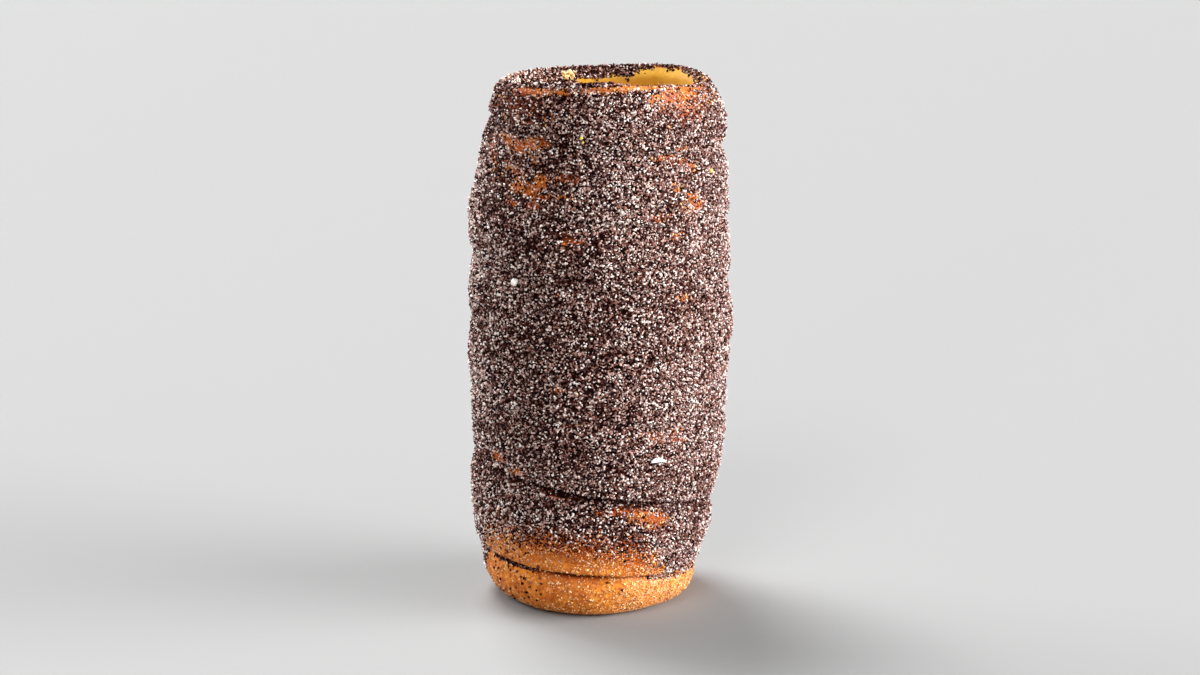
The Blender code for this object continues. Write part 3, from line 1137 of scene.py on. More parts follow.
class Effects:
    """Shader effects that several finishes share, each one built once."""

    fine_ratio: ClassVar[float] = 3.7
    fine_share: ClassVar[float] = 0.4
    pit_reach: ClassVar[float] = 0.7
    brown_draws: ClassVar[Step] = (0.45, 0.8)
    sugar_draws: ClassVar[Step] = (0.82, 0.86)
    grain_reach: ClassVar[float] = 0.8

    def __init__(self) -> None:
        """Builds the groups."""
        self.mottle = self.mottle_group()
        self.grain_colour = self.grain_colour_group()
        self.pits = self.pits_group()
        self.bed = self.bed_group()

    @staticmethod
    def group(name: str, inputs: dict[str, str], outputs: dict[str, str]) -> tuple[Tree, Wiring, dict, dict]:
        """Starts a group.

        Args:
            name: the group's name.
            inputs: socket type of each named input.
            outputs: socket type of each named output.

        Returns:
            The group, its wiring, its inputs inside, and its outputs' sockets inside.
        """
        tree = bpy.data.node_groups.new(name, "ShaderNodeTree")
        for label, kind in inputs.items():
            tree.interface.new_socket(label, in_out="INPUT", socket_type=kind)
        for label, kind in outputs.items():
            tree.interface.new_socket(label, in_out="OUTPUT", socket_type=kind)
        wiring = Wiring(tree)
        return tree, wiring, wiring.add("NodeGroupInput").outputs, wiring.add("NodeGroupOutput").inputs

    def mottle_group(self) -> Tree:
        """Soft blotches of two sizes, as a mask.

        Returns:
            The group.
        """
        kinds = {"Scale": NUMBER, "Low": NUMBER, "High": NUMBER}
        tree, wiring, given, results = self.group("mottle", kinds, {"Mask": NUMBER})
        place = wiring.place()
        fine = wiring.sums("MULTIPLY", given["Scale"], self.fine_ratio)
        large, small = (
            wiring.add("ShaderNodeTexNoise", {"Vector": place, "Scale": size, "Detail": depth}).outputs["Fac"]
            for size, depth in ((given["Scale"], 4.0), (fine, 3.0))
        )
        large_part = wiring.sums("MULTIPLY", large, 1 - self.fine_share)
        both = wiring.sums("MULTIPLY_ADD", small, self.fine_share, large_part)
        wiring.feed(results["Mask"], wiring.stretch(both, given["Low"], given["High"]))
        return tree

    def grain_colour_group(self) -> Tree:
        """Colour of a grain from its own tint, dark to light.

        Returns:
            The group.
        """
        kinds = dict.fromkeys(("Dark", "Middle", "Light"), COLOUR)
        tree, wiring, given, results = self.group("grain_colour", kinds, {"Colour": COLOUR})
        tint = wiring.attribute("tint")
        lower = wiring.mix(wiring.stretch(tint, 0.0, 0.5), given["Dark"], given["Middle"])
        wiring.feed(results["Colour"], wiring.mix(wiring.stretch(tint, 0.5, 1.0), lower, given["Light"]))
        return tree

    def pits_group(self) -> Tree:
        """Small pits with raised rims between them, as a height.

        Returns:
            The group.
        """
        kinds = {"Scale": NUMBER}
        tree, wiring, given, results = self.group("pits", kinds, {"Height": NUMBER})
        values = {"Vector": wiring.place(), "Scale": given["Scale"]}
        cells = wiring.add("ShaderNodeTexVoronoi", values, feature="SMOOTH_F1").outputs["Distance"]
        wiring.feed(results["Height"], wiring.stretch(cells, 0.0, self.pit_reach))
        return tree

    def bed_group(self) -> Tree:
        """Half-sunk seeds and sugar between the loose grains.

        Returns:
            The group.
        """
        kinds = dict.fromkeys(("Scale", "Cover", "Shine"), NUMBER)
        kinds.update(dict.fromkeys(("Dark", "Brown", "Sugar"), COLOUR))
        made = {"Colour": COLOUR, "Height": NUMBER, "Mask": NUMBER, "Coat": NUMBER}
        tree, wiring, given, results = self.group("seed_bed", kinds, made)
        cells = wiring.add("ShaderNodeTexVoronoi", {"Vector": wiring.place(), "Scale": given["Scale"]})
        draws = wiring.add("ShaderNodeSeparateColor", {0: cells.outputs["Color"]}).outputs
        seeds = wiring.mix(wiring.stretch(draws[0], *self.brown_draws), given["Dark"], given["Brown"])
        sugared = wiring.mix(wiring.stretch(draws[0], *self.sugar_draws), seeds, given["Sugar"])
        wiring.feed(results["Colour"], sugared)
        sunk = wiring.stretch(cells.outputs["Distance"], 0.0, self.grain_reach)
        wiring.feed(results["Height"], wiring.sums("SUBTRACT", 1.0, sunk))
        mask = wiring.sums("LESS_THAN", draws[1], given["Cover"])
        wiring.feed(results["Mask"], mask)
        bare = wiring.sums("SUBTRACT", 1.0, mask)
        wiring.feed(results["Coat"], wiring.sums("MULTIPLY", bare, given["Shine"]))
        return tree

    @staticmethod
    def use(wiring: Wiring, tree: Tree, values: dict) -> bpy.types.bpy_prop_collection:
        """Outputs of a group that is placed in a material with these inputs."""
        return wiring.add("ShaderNodeGroup", values, node_tree=tree).outputs


@dataclass(frozen=True)
class Finish:
    """What every finish states: the constants of its shader."""

    name: str
    specular: float
    roughness: float = 0.6
    coat: float = 0.0

    def start(self) -> tuple[Material, Wiring, bpy.types.Node]:
        """Makes the material.

        Returns:
            The material, its wiring and its shader.
        """
        material = bpy.data.materials.new(self.name)
        material.use_nodes = True
        shader = material.node_tree.nodes["Principled BSDF"]
        looks = {"Roughness": self.roughness, "Specular IOR Level": self.specular, "Coat Weight": self.coat}
        for name, value in looks.items():
            shader.inputs[name].default_value = value
        return material, Wiring(material.node_tree), shader


@dataclass(frozen=True)
class GrainFinish(Finish):
    """Finish of loose grains, which vary over a dark, a middle and a light tint."""

    tints: Sequence[Colour] = ()
    pit_scale: float = 5200.0
    pit_height: float = 0.00004
    bump_strength: float = 0.6

    def material(self, effects: Effects) -> Material:
        """Builds the material.

        Args:
            effects: the shared effects.

        Returns:
            The material.
        """
        material, wiring, shader = self.start()
        colours = dict(zip(("Dark", "Middle", "Light"), map(solid, self.tints)))
        wiring.feed(shader.inputs["Base Color"], effects.use(wiring, effects.grain_colour, colours)["Colour"])
        height = effects.use(wiring, effects.pits, {"Scale": self.pit_scale})["Height"]
        wiring.feed(shader.inputs["Normal"], wiring.bump(height, self.pit_height, self.bump_strength))
        return material


@dataclass(frozen=True)
class SugarFinish(GrainFinish):
    """Finish of sugar, with wider and lower pits than a seed's."""

    pit_scale: float = 2600.0
    pit_height: float = 0.00003


@dataclass(frozen=True)
class DoughFinish(Finish):
    """Baked dough under the coat: its own look, with a bed of stuck seeds where the coat lies."""

    bed_tints: Sequence[Colour] = ((0.005, 0.0008, 0.0006), (0.055, 0.012, 0.008), (0.48, 0.28, 0.23))
    bed_scale: float = 1750.0
    bed_cover: Step = (0.05, 0.85)
    bump_height: float = 0.0004
    bump_strength: float = 0.8
    shine: float = 0.3
    shine_roughness: float = 0.38
    pore_scale: float = 700.0
    pore_height: float = 0.5

    def dough(self, wiring: Wiring, effects: Effects) -> tuple[Socket, Socket]:
        """Colour and height of the bare dough, which each kind of dough gives."""
        raise NotImplementedError

    def pores(self, wiring: Wiring, effects: Effects) -> Socket:
        """Output with the height of the dough between its pores."""
        height = effects.use(wiring, effects.pits, {"Scale": self.pore_scale})["Height"]
        return wiring.sums("MULTIPLY", height, self.pore_height)

    def material(self, effects: Effects) -> Material:
        """Builds the material.

        Args:
            effects: the shared effects.

        Returns:
            The material.
        """
        material, wiring, shader = self.start()
        bare_colour, bare_height = self.dough(wiring, effects)
        cover = wiring.stretch(wiring.attribute("cover"), *self.bed_cover)
        unburnt = wiring.sums("SUBTRACT", 1.0, wiring.attribute("bake"))
        shine = wiring.sums("MULTIPLY", unburnt, self.shine)
        bed_values = {"Scale": self.bed_scale, "Cover": cover, "Shine": shine}
        bed_values.update(zip(("Dark", "Brown", "Sugar"), map(solid, self.bed_tints)))
        bed = effects.use(wiring, effects.bed, bed_values)
        wiring.feed(shader.inputs["Coat Weight"], bed["Coat"])
        shader.inputs["Coat Roughness"].default_value = self.shine_roughness
        wiring.feed(shader.inputs["Base Color"], wiring.mix(bed["Mask"], bare_colour, bed["Colour"]))
        height = wiring.add("ShaderNodeMix", {0: bed["Mask"], 2: bare_height, 3: bed["Height"]}).outputs[0]
        wiring.feed(shader.inputs["Normal"], wiring.bump(height, self.bump_height, self.bump_strength))
        return material


@dataclass(frozen=True)
class Mottle:
    """Soft blotches of one kind: how many to a metre, the noise for none and for full, and their strength."""

    scale: float
    low: float
    high: float
    strength: float = 1.0

    def mask(self, wiring: Wiring, effects: Effects) -> Socket:
        """Output with the blotches' mask."""
        values = {"Scale": self.scale, "Low": self.low, "High": self.high}
        return wiring.sums("MULTIPLY", effects.use(wiring, effects.mottle, values)["Mask"], self.strength)


@dataclass(frozen=True)
class CrustFinish(DoughFinish):
    """Golden crust: darker where baked hard, near black as painted shade in gaps, freckled brown, with fine
    sugar and painted light low on the foot.
    """

    pale: Colour = (0.9, 0.34, 0.046)
    golden: Colour = (0.72, 0.195, 0.016)
    brown: Colour = (0.31, 0.051, 0.006)
    # Near black: the hardest bake, and the painted shade in seam gaps, fold pits and hollows.
    baked: Colour = (0.012, 0.002, 0.001)
    # Pale sugar dust, which also stands for painted light low on the foot.
    dusted_and_painted_light: Colour = (0.84, 0.49, 0.26)
    blotches: Mottle = Mottle(80.0, 0.4, 0.6)
    streaks: Mottle = Mottle(190.0, 0.49, 0.62, 0.55)
    freckles: Mottle = Mottle(560.0, 0.5, 0.58, 0.75)
    specks: Mottle = Mottle(1500.0, 0.52, 0.6, 0.6)
    half_baked_at: float = 0.6
    dust_scale: float = 2000.0
    dust_edge: float = 0.25
    dust_strength: float = 0.85
    dust_height: float = 0.4

    def dough(self, wiring: Wiring, effects: Effects) -> tuple[Socket, Socket]:
        """Colour and height of the bare crust.

        Args:
            wiring: the material's wiring.
            effects: the shared effects.

        Returns:
            Outputs with the colour and the height.
        """
        brown = solid(self.brown)
        colour = wiring.mix(self.blotches.mask(wiring, effects), solid(self.golden), solid(self.pale))
        for spots in (self.streaks, self.freckles, self.specks):
            colour = wiring.mix(spots.mask(wiring, effects), colour, brown)
        # The bake value also carries painted shade, which takes gaps and hollows to the near-black baked
        # colour.
        bake = wiring.attribute("bake")
        half_baked = wiring.mix(wiring.stretch(bake, 0.0, self.half_baked_at), colour, brown)
        colour = wiring.mix(wiring.stretch(bake, self.half_baked_at, 1.0), half_baked, solid(self.baked))
        grains = wiring.add("ShaderNodeTexVoronoi", {"Vector": wiring.place(), "Scale": self.dust_scale})
        draw = wiring.add("ShaderNodeSeparateColor", {0: grains.outputs["Color"]}).outputs[0]
        # The dusting also carries painted light, which makes the foot's bottom edge paler.
        film_and_painted_light = wiring.sums("MULTIPLY", wiring.attribute("film_and_painted_light"), wiring.sums("SUBTRACT", 1.0, bake))
        dust = wiring.stretch(wiring.sums("SUBTRACT", film_and_painted_light, draw), 0.0, self.dust_edge)
        colour = wiring.mix(wiring.sums("MULTIPLY", dust, self.dust_strength), colour, solid(self.dusted_and_painted_light))
        return colour, wiring.sums("MULTIPLY_ADD", dust, self.dust_height, self.pores(wiring, effects))


@dataclass(frozen=True)
class BoreFinish(DoughFinish):
    """Smooth yellow dough that has baked against the spit."""

    pale: Colour = (0.73, 0.41, 0.06)
    yellow: Colour = (0.63, 0.32, 0.032)
    blotches: Mottle = Mottle(90.0, 0.36, 0.64)
    pore_scale: float = 1100.0
    pore_height: float = 0.25

    def dough(self, wiring: Wiring, effects: Effects) -> tuple[Socket, Socket]:
        """Colour and height of the dough in the bore."""
        colour = wiring.mix(self.blotches.mask(wiring, effects), solid(self.yellow), solid(self.pale))
        return colour, self.pores(wiring, effects)


@dataclass
class Dough:
    """The baked tube: the wound outer wall, the rim and the bore, as one closed mesh."""

    tube: WoundTube
    coat: Coat
    folds: Folds = field(default_factory=Folds)
    columns: int = 208
    rows: int = 28
    row_crowding: float = 0.78
    bore_rows: int = 88
    rim_rows: int = 6
    crust_rings: int = 3
    weld: float = 0.00003
    least_edge: float = 0.000003
    sharp_angle: float = 60
    wall_unevenness: Sequence[Waves] = (Waves(0.009, 5.0, 0.00042), Waves(0.0026, 8.0, 0.00018))
    bore_unevenness: Sequence[Waves] = (Waves(0.014, 21.0, 0.00022),)
    bore_foot_fade: Step = (0.0, 0.004)
    rim_fold_depth: float = 0.0009
    rim_fold_arc: Arc = Arc(-52, -42, -26, -14)
    rim_fold_heights: Hump = (0.1968, 0.0006)
    mark_depth: float = 0.00055
    mark_half_height: float = 0.0019
    fold_pits: Step = (0.0011, 0.0021)
    fold_hollows: Step = (0.0002, 0.001)
    seam_hollows: Step = (0.0012, 0.0028)
    grid: WallGrid = field(init=False)
    data: MeshData = field(init=False)

    def outer_wall(self, turn: Array, share: Array) -> WallGrid:
        """Points on the wound outer wall.

        Args:
            turn: turns of the seam below each point.
            share: share of the ribbon's width above that seam.

        Returns:
            The points and what is known of them.
        """
        tube = self.tube
        azimuth = -2 * math.pi * turn
        degrees = wrapped(np.degrees(azimuth))
        low, high = tube.seam_height(turn), tube.seam_height(turn + 1)
        above_seam = share * (high - low)
        height = low + above_seam
        crease = curve(tube.seam_creases, np.where(share < 0.5, turn, turn + 1))
        above_foot = ramp(*tube.foot_fade, height)
        clear = above_foot * ramp(*tube.rim_fade, tube.height - height)
        strength = crease * ramp(*tube.full_ribbon, high - low) * clear
        gap_relief, gap_lift, gap_pit = tube.gaping(turn, share)
        height = height + tube.tuck * strength * np.abs(2 * share - 1) ** (2 * tube.crease_power) + gap_lift
        folds = self.folds.relief(degrees, height + tube.lift(azimuth, height)) * clear
        relief = tube.ribbon_relief(share, above_seam) * strength + gap_relief + folds
        rim_fold = self.rim_fold_arc.share(degrees) * hump(height, *self.rim_fold_heights)
        relief -= self.rim_fold_depth * rim_fold

        sideways = np.sin(azimuth) ** 2
        radius, level = tube.outline(height)
        radius = radius - tube.foot_pinch * sideways * ease(*tube.foot_pinch_heights, height)
        out_radius, out_level = tube.outline_normal(height)
        stands_out = relief + tube.lump(azimuth, height) * clear
        stands_out -= tube.rim_pinch * sideways * tube.rim_share(height)
        points = tube.place(azimuth, radius + stands_out * out_radius, level + stands_out * out_level)
        rough = layered(self.wall_unevenness, points) * above_foot
        points[:, 0] += rough * out_radius * np.sin(azimuth)
        points[:, 1] -= rough * out_radius * np.cos(azimuth)
        points[:, 2] = np.maximum(0, points[:, 2] + rough * out_level)
        return WallGrid(
            points=points,
            azimuth=azimuth,
            height=height,
            seam_distance=np.minimum(above_seam, high - low - above_seam),
            # Hollows and pits mark where the crust's colour is darkened as painted shade, and pits are kept
            # clear of grains.
            hollow=np.maximum(ramp(*self.seam_hollows, -relief), ramp(*self.fold_hollows, -folds)),
            pit=np.maximum(gap_pit, ramp(*self.fold_pits, -folds)),
            inside=np.zeros(height.size, dtype=bool),
        )

    def inner_outline(self) -> tuple[Array, Array]:
        """Outline from just inside the rim's crest down the bore to the foot.

        Returns:
            Radius and height of each level ring.
        """
        tube = self.tube
        bottom = tube.height - tube.rim_inner_drop
        angles = np.linspace(0, math.pi / 2, self.rim_rows + 1)[1:]
        bore_top = tube.bore_radius(bottom)
        rim_radius = bore_top + (tube.rim_crest_radius - bore_top) * np.cos(angles)
        rim_height = tube.height - tube.rim_inner_drop * (1 - np.cos(angles))
        rim_height[-1] = bottom
        foot_edge = tube.foot_ring_inner - tube.bore_radius_foot
        heights = np.linspace(bottom, foot_edge, self.bore_rows)[1:]
        radius = np.concatenate([rim_radius, tube.bore_radius(heights), [tube.foot_ring_inner]])
        return radius, np.concatenate([rim_height, heights, [0.0]])

    def inner_wall(self) -> WallGrid:
        """Points down the bore, ring by ring.

        Returns:
            The points and what is known of them.
        """
        ring_radius, ring_height = self.inner_outline()
        from_crest = ramp(ring_radius[self.rim_rows - 1], self.tube.rim_crest_radius, ring_radius)
        rings = len(ring_radius)
        azimuth = np.tile(-2 * math.pi * np.arange(self.columns) / self.columns, rings)
        height = np.repeat(ring_height, self.columns)
        pinch = self.tube.rim_pinch * np.repeat(from_crest, self.columns) * np.sin(azimuth) ** 2
        points = self.tube.place(azimuth, np.repeat(ring_radius, self.columns) - pinch, height)
        rough = layered(self.bore_unevenness, points) - self.mark_depth * self.spit_marks(azimuth, height)
        rough *= ramp(*self.bore_foot_fade, height)
        points[:, 0] -= rough * np.sin(azimuth)
        points[:, 1] += rough * np.cos(azimuth)
        return WallGrid(
            points=points,
            azimuth=azimuth,
            height=height,
            seam_distance=np.full(height.size, 1.0),
            hollow=np.zeros(height.size),
            pit=np.zeros(height.size),
            inside=np.ones(height.size, dtype=bool),
        )

    def spit_marks(self, azimuth: Array, height: Array) -> Array:
        """Faint grooves in the bore, where turns of the ribbon met on the spit.

        Args:
            azimuth: angle round the axis, in radians.
            height: height up the bore.

        Returns:
            1 in a groove, falling to 0 beside it.
        """
        first_turn = (-azimuth / (2 * math.pi)) % 1
        seams = self.tube.seam_height(first_turn[:, None] + np.arange(self.tube.turns + 1))
        nearest = np.abs(seams - height[:, None]).min(axis=1)
        return hump(nearest, 0.0, self.mark_half_height)

    def wall_faces(self) -> Array:
        """Faces of the wound wall, column by column along the ribbon.

        Returns:
            Corner numbers, one face a row. After the ribbon's own corners come those of the rim's crest.
        """
        columns, rows = self.columns, self.rows
        wound = (self.tube.turns + 1) * columns
        column, row = np.meshgrid(np.arange(wound), np.arange(rows), indexing="ij")

        def corner(at_column: Array, at_row: Array) -> Array:
            """Number of a grid corner, where a row past the last is the next turn's first."""
            turned = np.where(at_row == rows, at_column + columns, at_column)
            return np.where(turned >= wound, wound * rows + turned - wound, turned * rows + at_row % rows)

        steps = ((0, 0), (0, 1), (1, 1), (1, 0))
        return np.stack([corner(column + over, row + up) for over, up in steps], axis=-1).reshape(-1, 4)

    def bore_faces(self, crest_start: int, rings: int) -> Array:
        """Faces of the rim, the bore and the foot ring.

        Args:
            crest_start: number of the crest's first corner.
            rings: rings of corners after the crest's.

        Returns:
            Corner numbers, one face a row.
        """
        around = np.arange(self.columns)
        after = (around + 1) % self.columns
        starts = [crest_start + ring * self.columns for ring in range(rings + 1)]
        bands = [
            np.stack([upper + around, lower + around, lower + after, upper + after], axis=-1)
            for upper, lower in zip(starts, starts[1:])
        ]
        last = starts[-1]
        foot = np.stack([last + around, around * self.rows, (around + 1) * self.rows, last + after], axis=-1)
        return np.concatenate([*bands, foot])

    def build(self) -> None:
        """Makes the closed mesh, with the coat's values kept on it."""
        columns, turns = self.columns, self.tube.turns
        even = np.arange(self.rows) / self.rows
        shares = even - self.row_crowding * np.sin(2 * math.pi * even) / (2 * math.pi)
        wound = np.arange(-columns, turns * columns) / columns
        crest = np.arange(turns * columns, (turns + 1) * columns) / columns
        turn, share = np.meshgrid(wound, shares, indexing="ij")
        turn = np.concatenate([turn.ravel(), crest])
        share = np.concatenate([share.ravel(), np.zeros(columns)])
        inner = self.inner_wall()
        self.grid = self.outer_wall(turn, share).joined(inner)

        wall = self.wall_faces()
        bore = self.bore_faces(len(wound) * self.rows, len(inner.height) // columns)
        self.data = mesh_from_arrays("baked_dough", self.grid.points, np.concatenate([wall, bore]))
        skins = np.full(len(wall) + len(bore), Skin.CRUST.value, dtype=np.int32)
        skins[len(wall) + self.crust_rings * columns:] = Skin.BORE.value
        self.data.polygons.foreach_set("material_index", skins)
        for name, values in self.coat.over(self.grid).items():
            add_values(self.data, name, values)
        self.clean()

    def clean(self) -> None:
        """Welds the ends of the ribbon and the seam between the walls."""
        mesh = bmesh.new()
        mesh.from_mesh(self.data)
        bmesh.ops.remove_doubles(mesh, verts=mesh.verts, dist=self.weld)
        bmesh.ops.dissolve_degenerate(mesh, dist=self.least_edge, edges=mesh.edges)
        bmesh.ops.recalc_face_normals(mesh, faces=mesh.faces)
        mesh.to_mesh(self.data)
        mesh.free()
        self.data.shade_smooth()
        self.data.set_sharp_from_angle(angle=math.radians(self.sharp_angle))

    def dress(self, crust: Material, bore: Material) -> None:
        """Shows the dough with its two finishes.

        Args:
            crust: finish of the outside.
            bore: finish of the inside.
        """
        self.data.materials.append(crust)
        self.data.materials.append(bore)
        show("baked_dough", self.data)


SIX_CORNERS = ((1, 0, 0), (0, 1, 0), (-1, 0, 0), (0, -1, 0), (0, 0, 1), (0, 0, -1))
EIGHT_SIDES = ((4, 0, 1), (4, 1, 2), (4, 2, 3), (4, 3, 0), (5, 1, 0), (5, 2, 1), (5, 3, 2), (5, 0, 3))


@dataclass(frozen=True)
class Crystal:
    """Broken eight-sided crystal: half sizes, their spread, lean in radians, versions and unevenness."""

    half_sizes: tuple[float, float, float]
    size_spread: float
    tilt: float
    version_count: int
    unevenness: float

    def versions(self, draw: np.random.Generator) -> Array:
        """Corners of each version, drawn at random."""
        base = np.array(SIX_CORNERS, dtype=float)
        return base[None] + self.unevenness * draw.uniform(-1, 1, (self.version_count, len(base), 3))


@dataclass(frozen=True)
class Seed(Crystal):
    """Kidney-shaped poppy seed: as a crystal, with ends that droop, a middle that is raised, and a curl."""

    droop: float = 0.3
    raised: float = 0.1
    curl: float = 0.25

    def versions(self, draw: np.random.Generator) -> Array:
        """Corners of each version, drawn at random.

        Args:
            draw: source of the random numbers.

        Returns:
            One set of corners for each version.
        """
        base = np.array(SIX_CORNERS, dtype=float)
        base[:, 2] -= self.droop * base[:, 0] ** 2 - self.raised
        base[:, 0] += self.curl * base[:, 1] ** 2
        return base[None] * (1 + self.unevenness * draw.standard_normal((self.version_count, len(base), 3)))


class Shape(Enum):
    """Shapes that a grain is made in."""

    SEED = Seed((0.00055, 0.00044, 0.00038), 0.14, 0.55, 8, 0.1)
    CRYSTAL = Crystal((0.00056, 0.00038, 0.00034), 0.28, 1.5, 12, 0.42)
    BAKED_IN = Crystal((0.00047, 0.00034, 0.00018), 0.4, 0.4, 12, 0.42)


class Grain(Enum):
    """Kinds of grain, each one piece of the cake, with its share among grains of its shape."""

    SLATE_SEEDS = ("slate_poppy_seeds", Shape.SEED, "poppy_seed", 0.21)
    BLACK_SEEDS = ("black_poppy_seeds", Shape.SEED, "poppy_seed", 0.53)
    BROWN_SEEDS = ("brown_poppy_seeds", Shape.SEED, "poppy_seed", 0.26)
    WHITE_SUGAR = ("white_sugar", Shape.CRYSTAL, "sugar", 0.44)
    ROSE_SUGAR = ("rose_sugar", Shape.CRYSTAL, "sugar", 0.33)
    BROWNED_SUGAR = ("browned_sugar", Shape.CRYSTAL, "sugar", 0.23)
    GOLDEN_SUGAR = ("golden_sugar", Shape.BAKED_IN, "sugar", 1.0)

    def __init__(self, piece: str, shape: Shape, slot: str, share: float) -> None:
        """Keeps the piece's name, the grain's shape, the record's slot and the kind's share."""
        self.piece, self.shape, self.slot, self.share = piece, shape, slot, share


@dataclass
class Spots(Rows):
    """Places for grains on the dough, with its outward direction and the coat there."""

    places: Array
    outward: Array
    seeds: Array
    sugar: Array
    melted: Array

    def raised(self, by: Array) -> "Spots":
        """The same spots lifted off the dough by a distance each."""
        return replace(self, places=self.places + self.outward * by[:, None])


@dataclass
class Scatter:
    """Places for the grains, spread over the dough so that neighbours don't crowd each other."""

    dough: Dough
    draw: np.random.Generator
    seed_share: float = 0.38
    melted_share: float = 0.6
    clear_of_ground: float = 0.0012
    underside_below: float = 0.004
    underside_slope: float = -0.8
    full_lift: float = 0.5
    lift_limits: Limits = (0.15, 1.0)
    least_area: float = 1e-15

    def point_values(self, name: str) -> Array:
        """Reads the numbers that the dough keeps for its corners.

        Args:
            name: name of the numbers.

        Returns:
            One for each corner.
        """
        values = np.empty(len(self.dough.data.vertices))
        self.dough.data.attributes[name].data.foreach_get("value", values)
        return values

    def candidates(self, count: int) -> Spots:
        """Random places on the dough, kept as often as the coat is thick there.

        Args:
            count: places tried.

        Returns:
            The spots.
        """
        data = self.dough.data
        data.calc_loop_triangles()
        corners = np.empty((len(data.loop_triangles), 3), dtype=np.int32)
        data.loop_triangles.foreach_get("vertices", corners.ravel())
        points = np.empty((len(data.vertices), 3))
        data.vertices.foreach_get("co", points.ravel())
        a, b, c = (points[corners[:, side]] for side in range(3))
        across = np.cross(b - a, c - a)
        area = np.linalg.norm(across, axis=1)
        normals = across / np.maximum(area, self.least_area)[:, None]
        chance = np.cumsum(area)
        picked = np.searchsorted(chance, self.draw.uniform(0, chance[-1], count))
        first = np.sqrt(self.draw.uniform(0, 1, count))
        second = self.draw.uniform(0, 1, count)
        weights = np.stack([1 - first, first * (1 - second), first * second], axis=-1)
        cover, sugar, melted = (
            np.einsum("ij,ij->i", weights, self.point_values(name)[corners[picked]])
            for name in ("cover", "sugar", "melted")
        )
        spots = Spots(
            places=np.einsum("ij,ijk->ik", weights, points[corners[picked]]),
            outward=normals[picked],
            seeds=self.seed_share * cover,
            sugar=(1 - self.seed_share) * sugar,
            melted=self.melted_share * melted,
        )
        low = spots.places[:, 2]
        underneath = (spots.outward[:, 2] < self.underside_slope) & (low < self.underside_below)
        on_ground = (low < self.clear_of_ground) | underneath
        kept = (self.draw.uniform(0, 1, count) < spots.seeds + spots.sugar + spots.melted) & ~on_ground
        return spots.only(kept)

    @staticmethod
    def thinned(places: Array, spacing: float) -> Array:
        """Drops each place that is too near an earlier one.

        Args:
            places: places in order of their right to stay.
            spacing: least distance between two.

        Returns:
            Numbers of the places that stay.
        """
        cells: dict[tuple[int, int, int], list[tuple[float, float, float]]] = {}
        steps = [(i, j, k) for i in (-1, 0, 1) for j in (-1, 0, 1) for k in (-1, 0, 1)]
        keys = np.floor(places / spacing).astype(int).tolist()
        limit = spacing**2
        kept = []
        for number, (place, key) in enumerate(zip(places.tolist(), keys)):
            x, y, z = place
            i, j, k = key
            near = (cells.get((i + di, j + dj, k + dk)) for di, dj, dk in steps)
            others = (other for cell in near if cell for other in cell)
            if any((x - u) ** 2 + (y - v) ** 2 + (z - w) ** 2 < limit for u, v, w in others):
                continue
            cells.setdefault((i, j, k), []).append((x, y, z))
            kept.append(number)
        return np.array(kept)

    def spread(self, count: int, spacing: float, raised: Limits) -> Spots:
        """Spots with room between them, lifted off the dough.

        Args:
            count: places tried.
            spacing: least distance between two.
            raised: least and most lift.

        Returns:
            The spots.
        """
        spots = self.candidates(count)
        spots = spots.only(self.thinned(spots.places, spacing))
        thick = np.clip((spots.seeds + spots.sugar) / self.full_lift, *self.lift_limits)
        return spots.raised(self.draw.uniform(*raised, len(spots.places)) * thick)


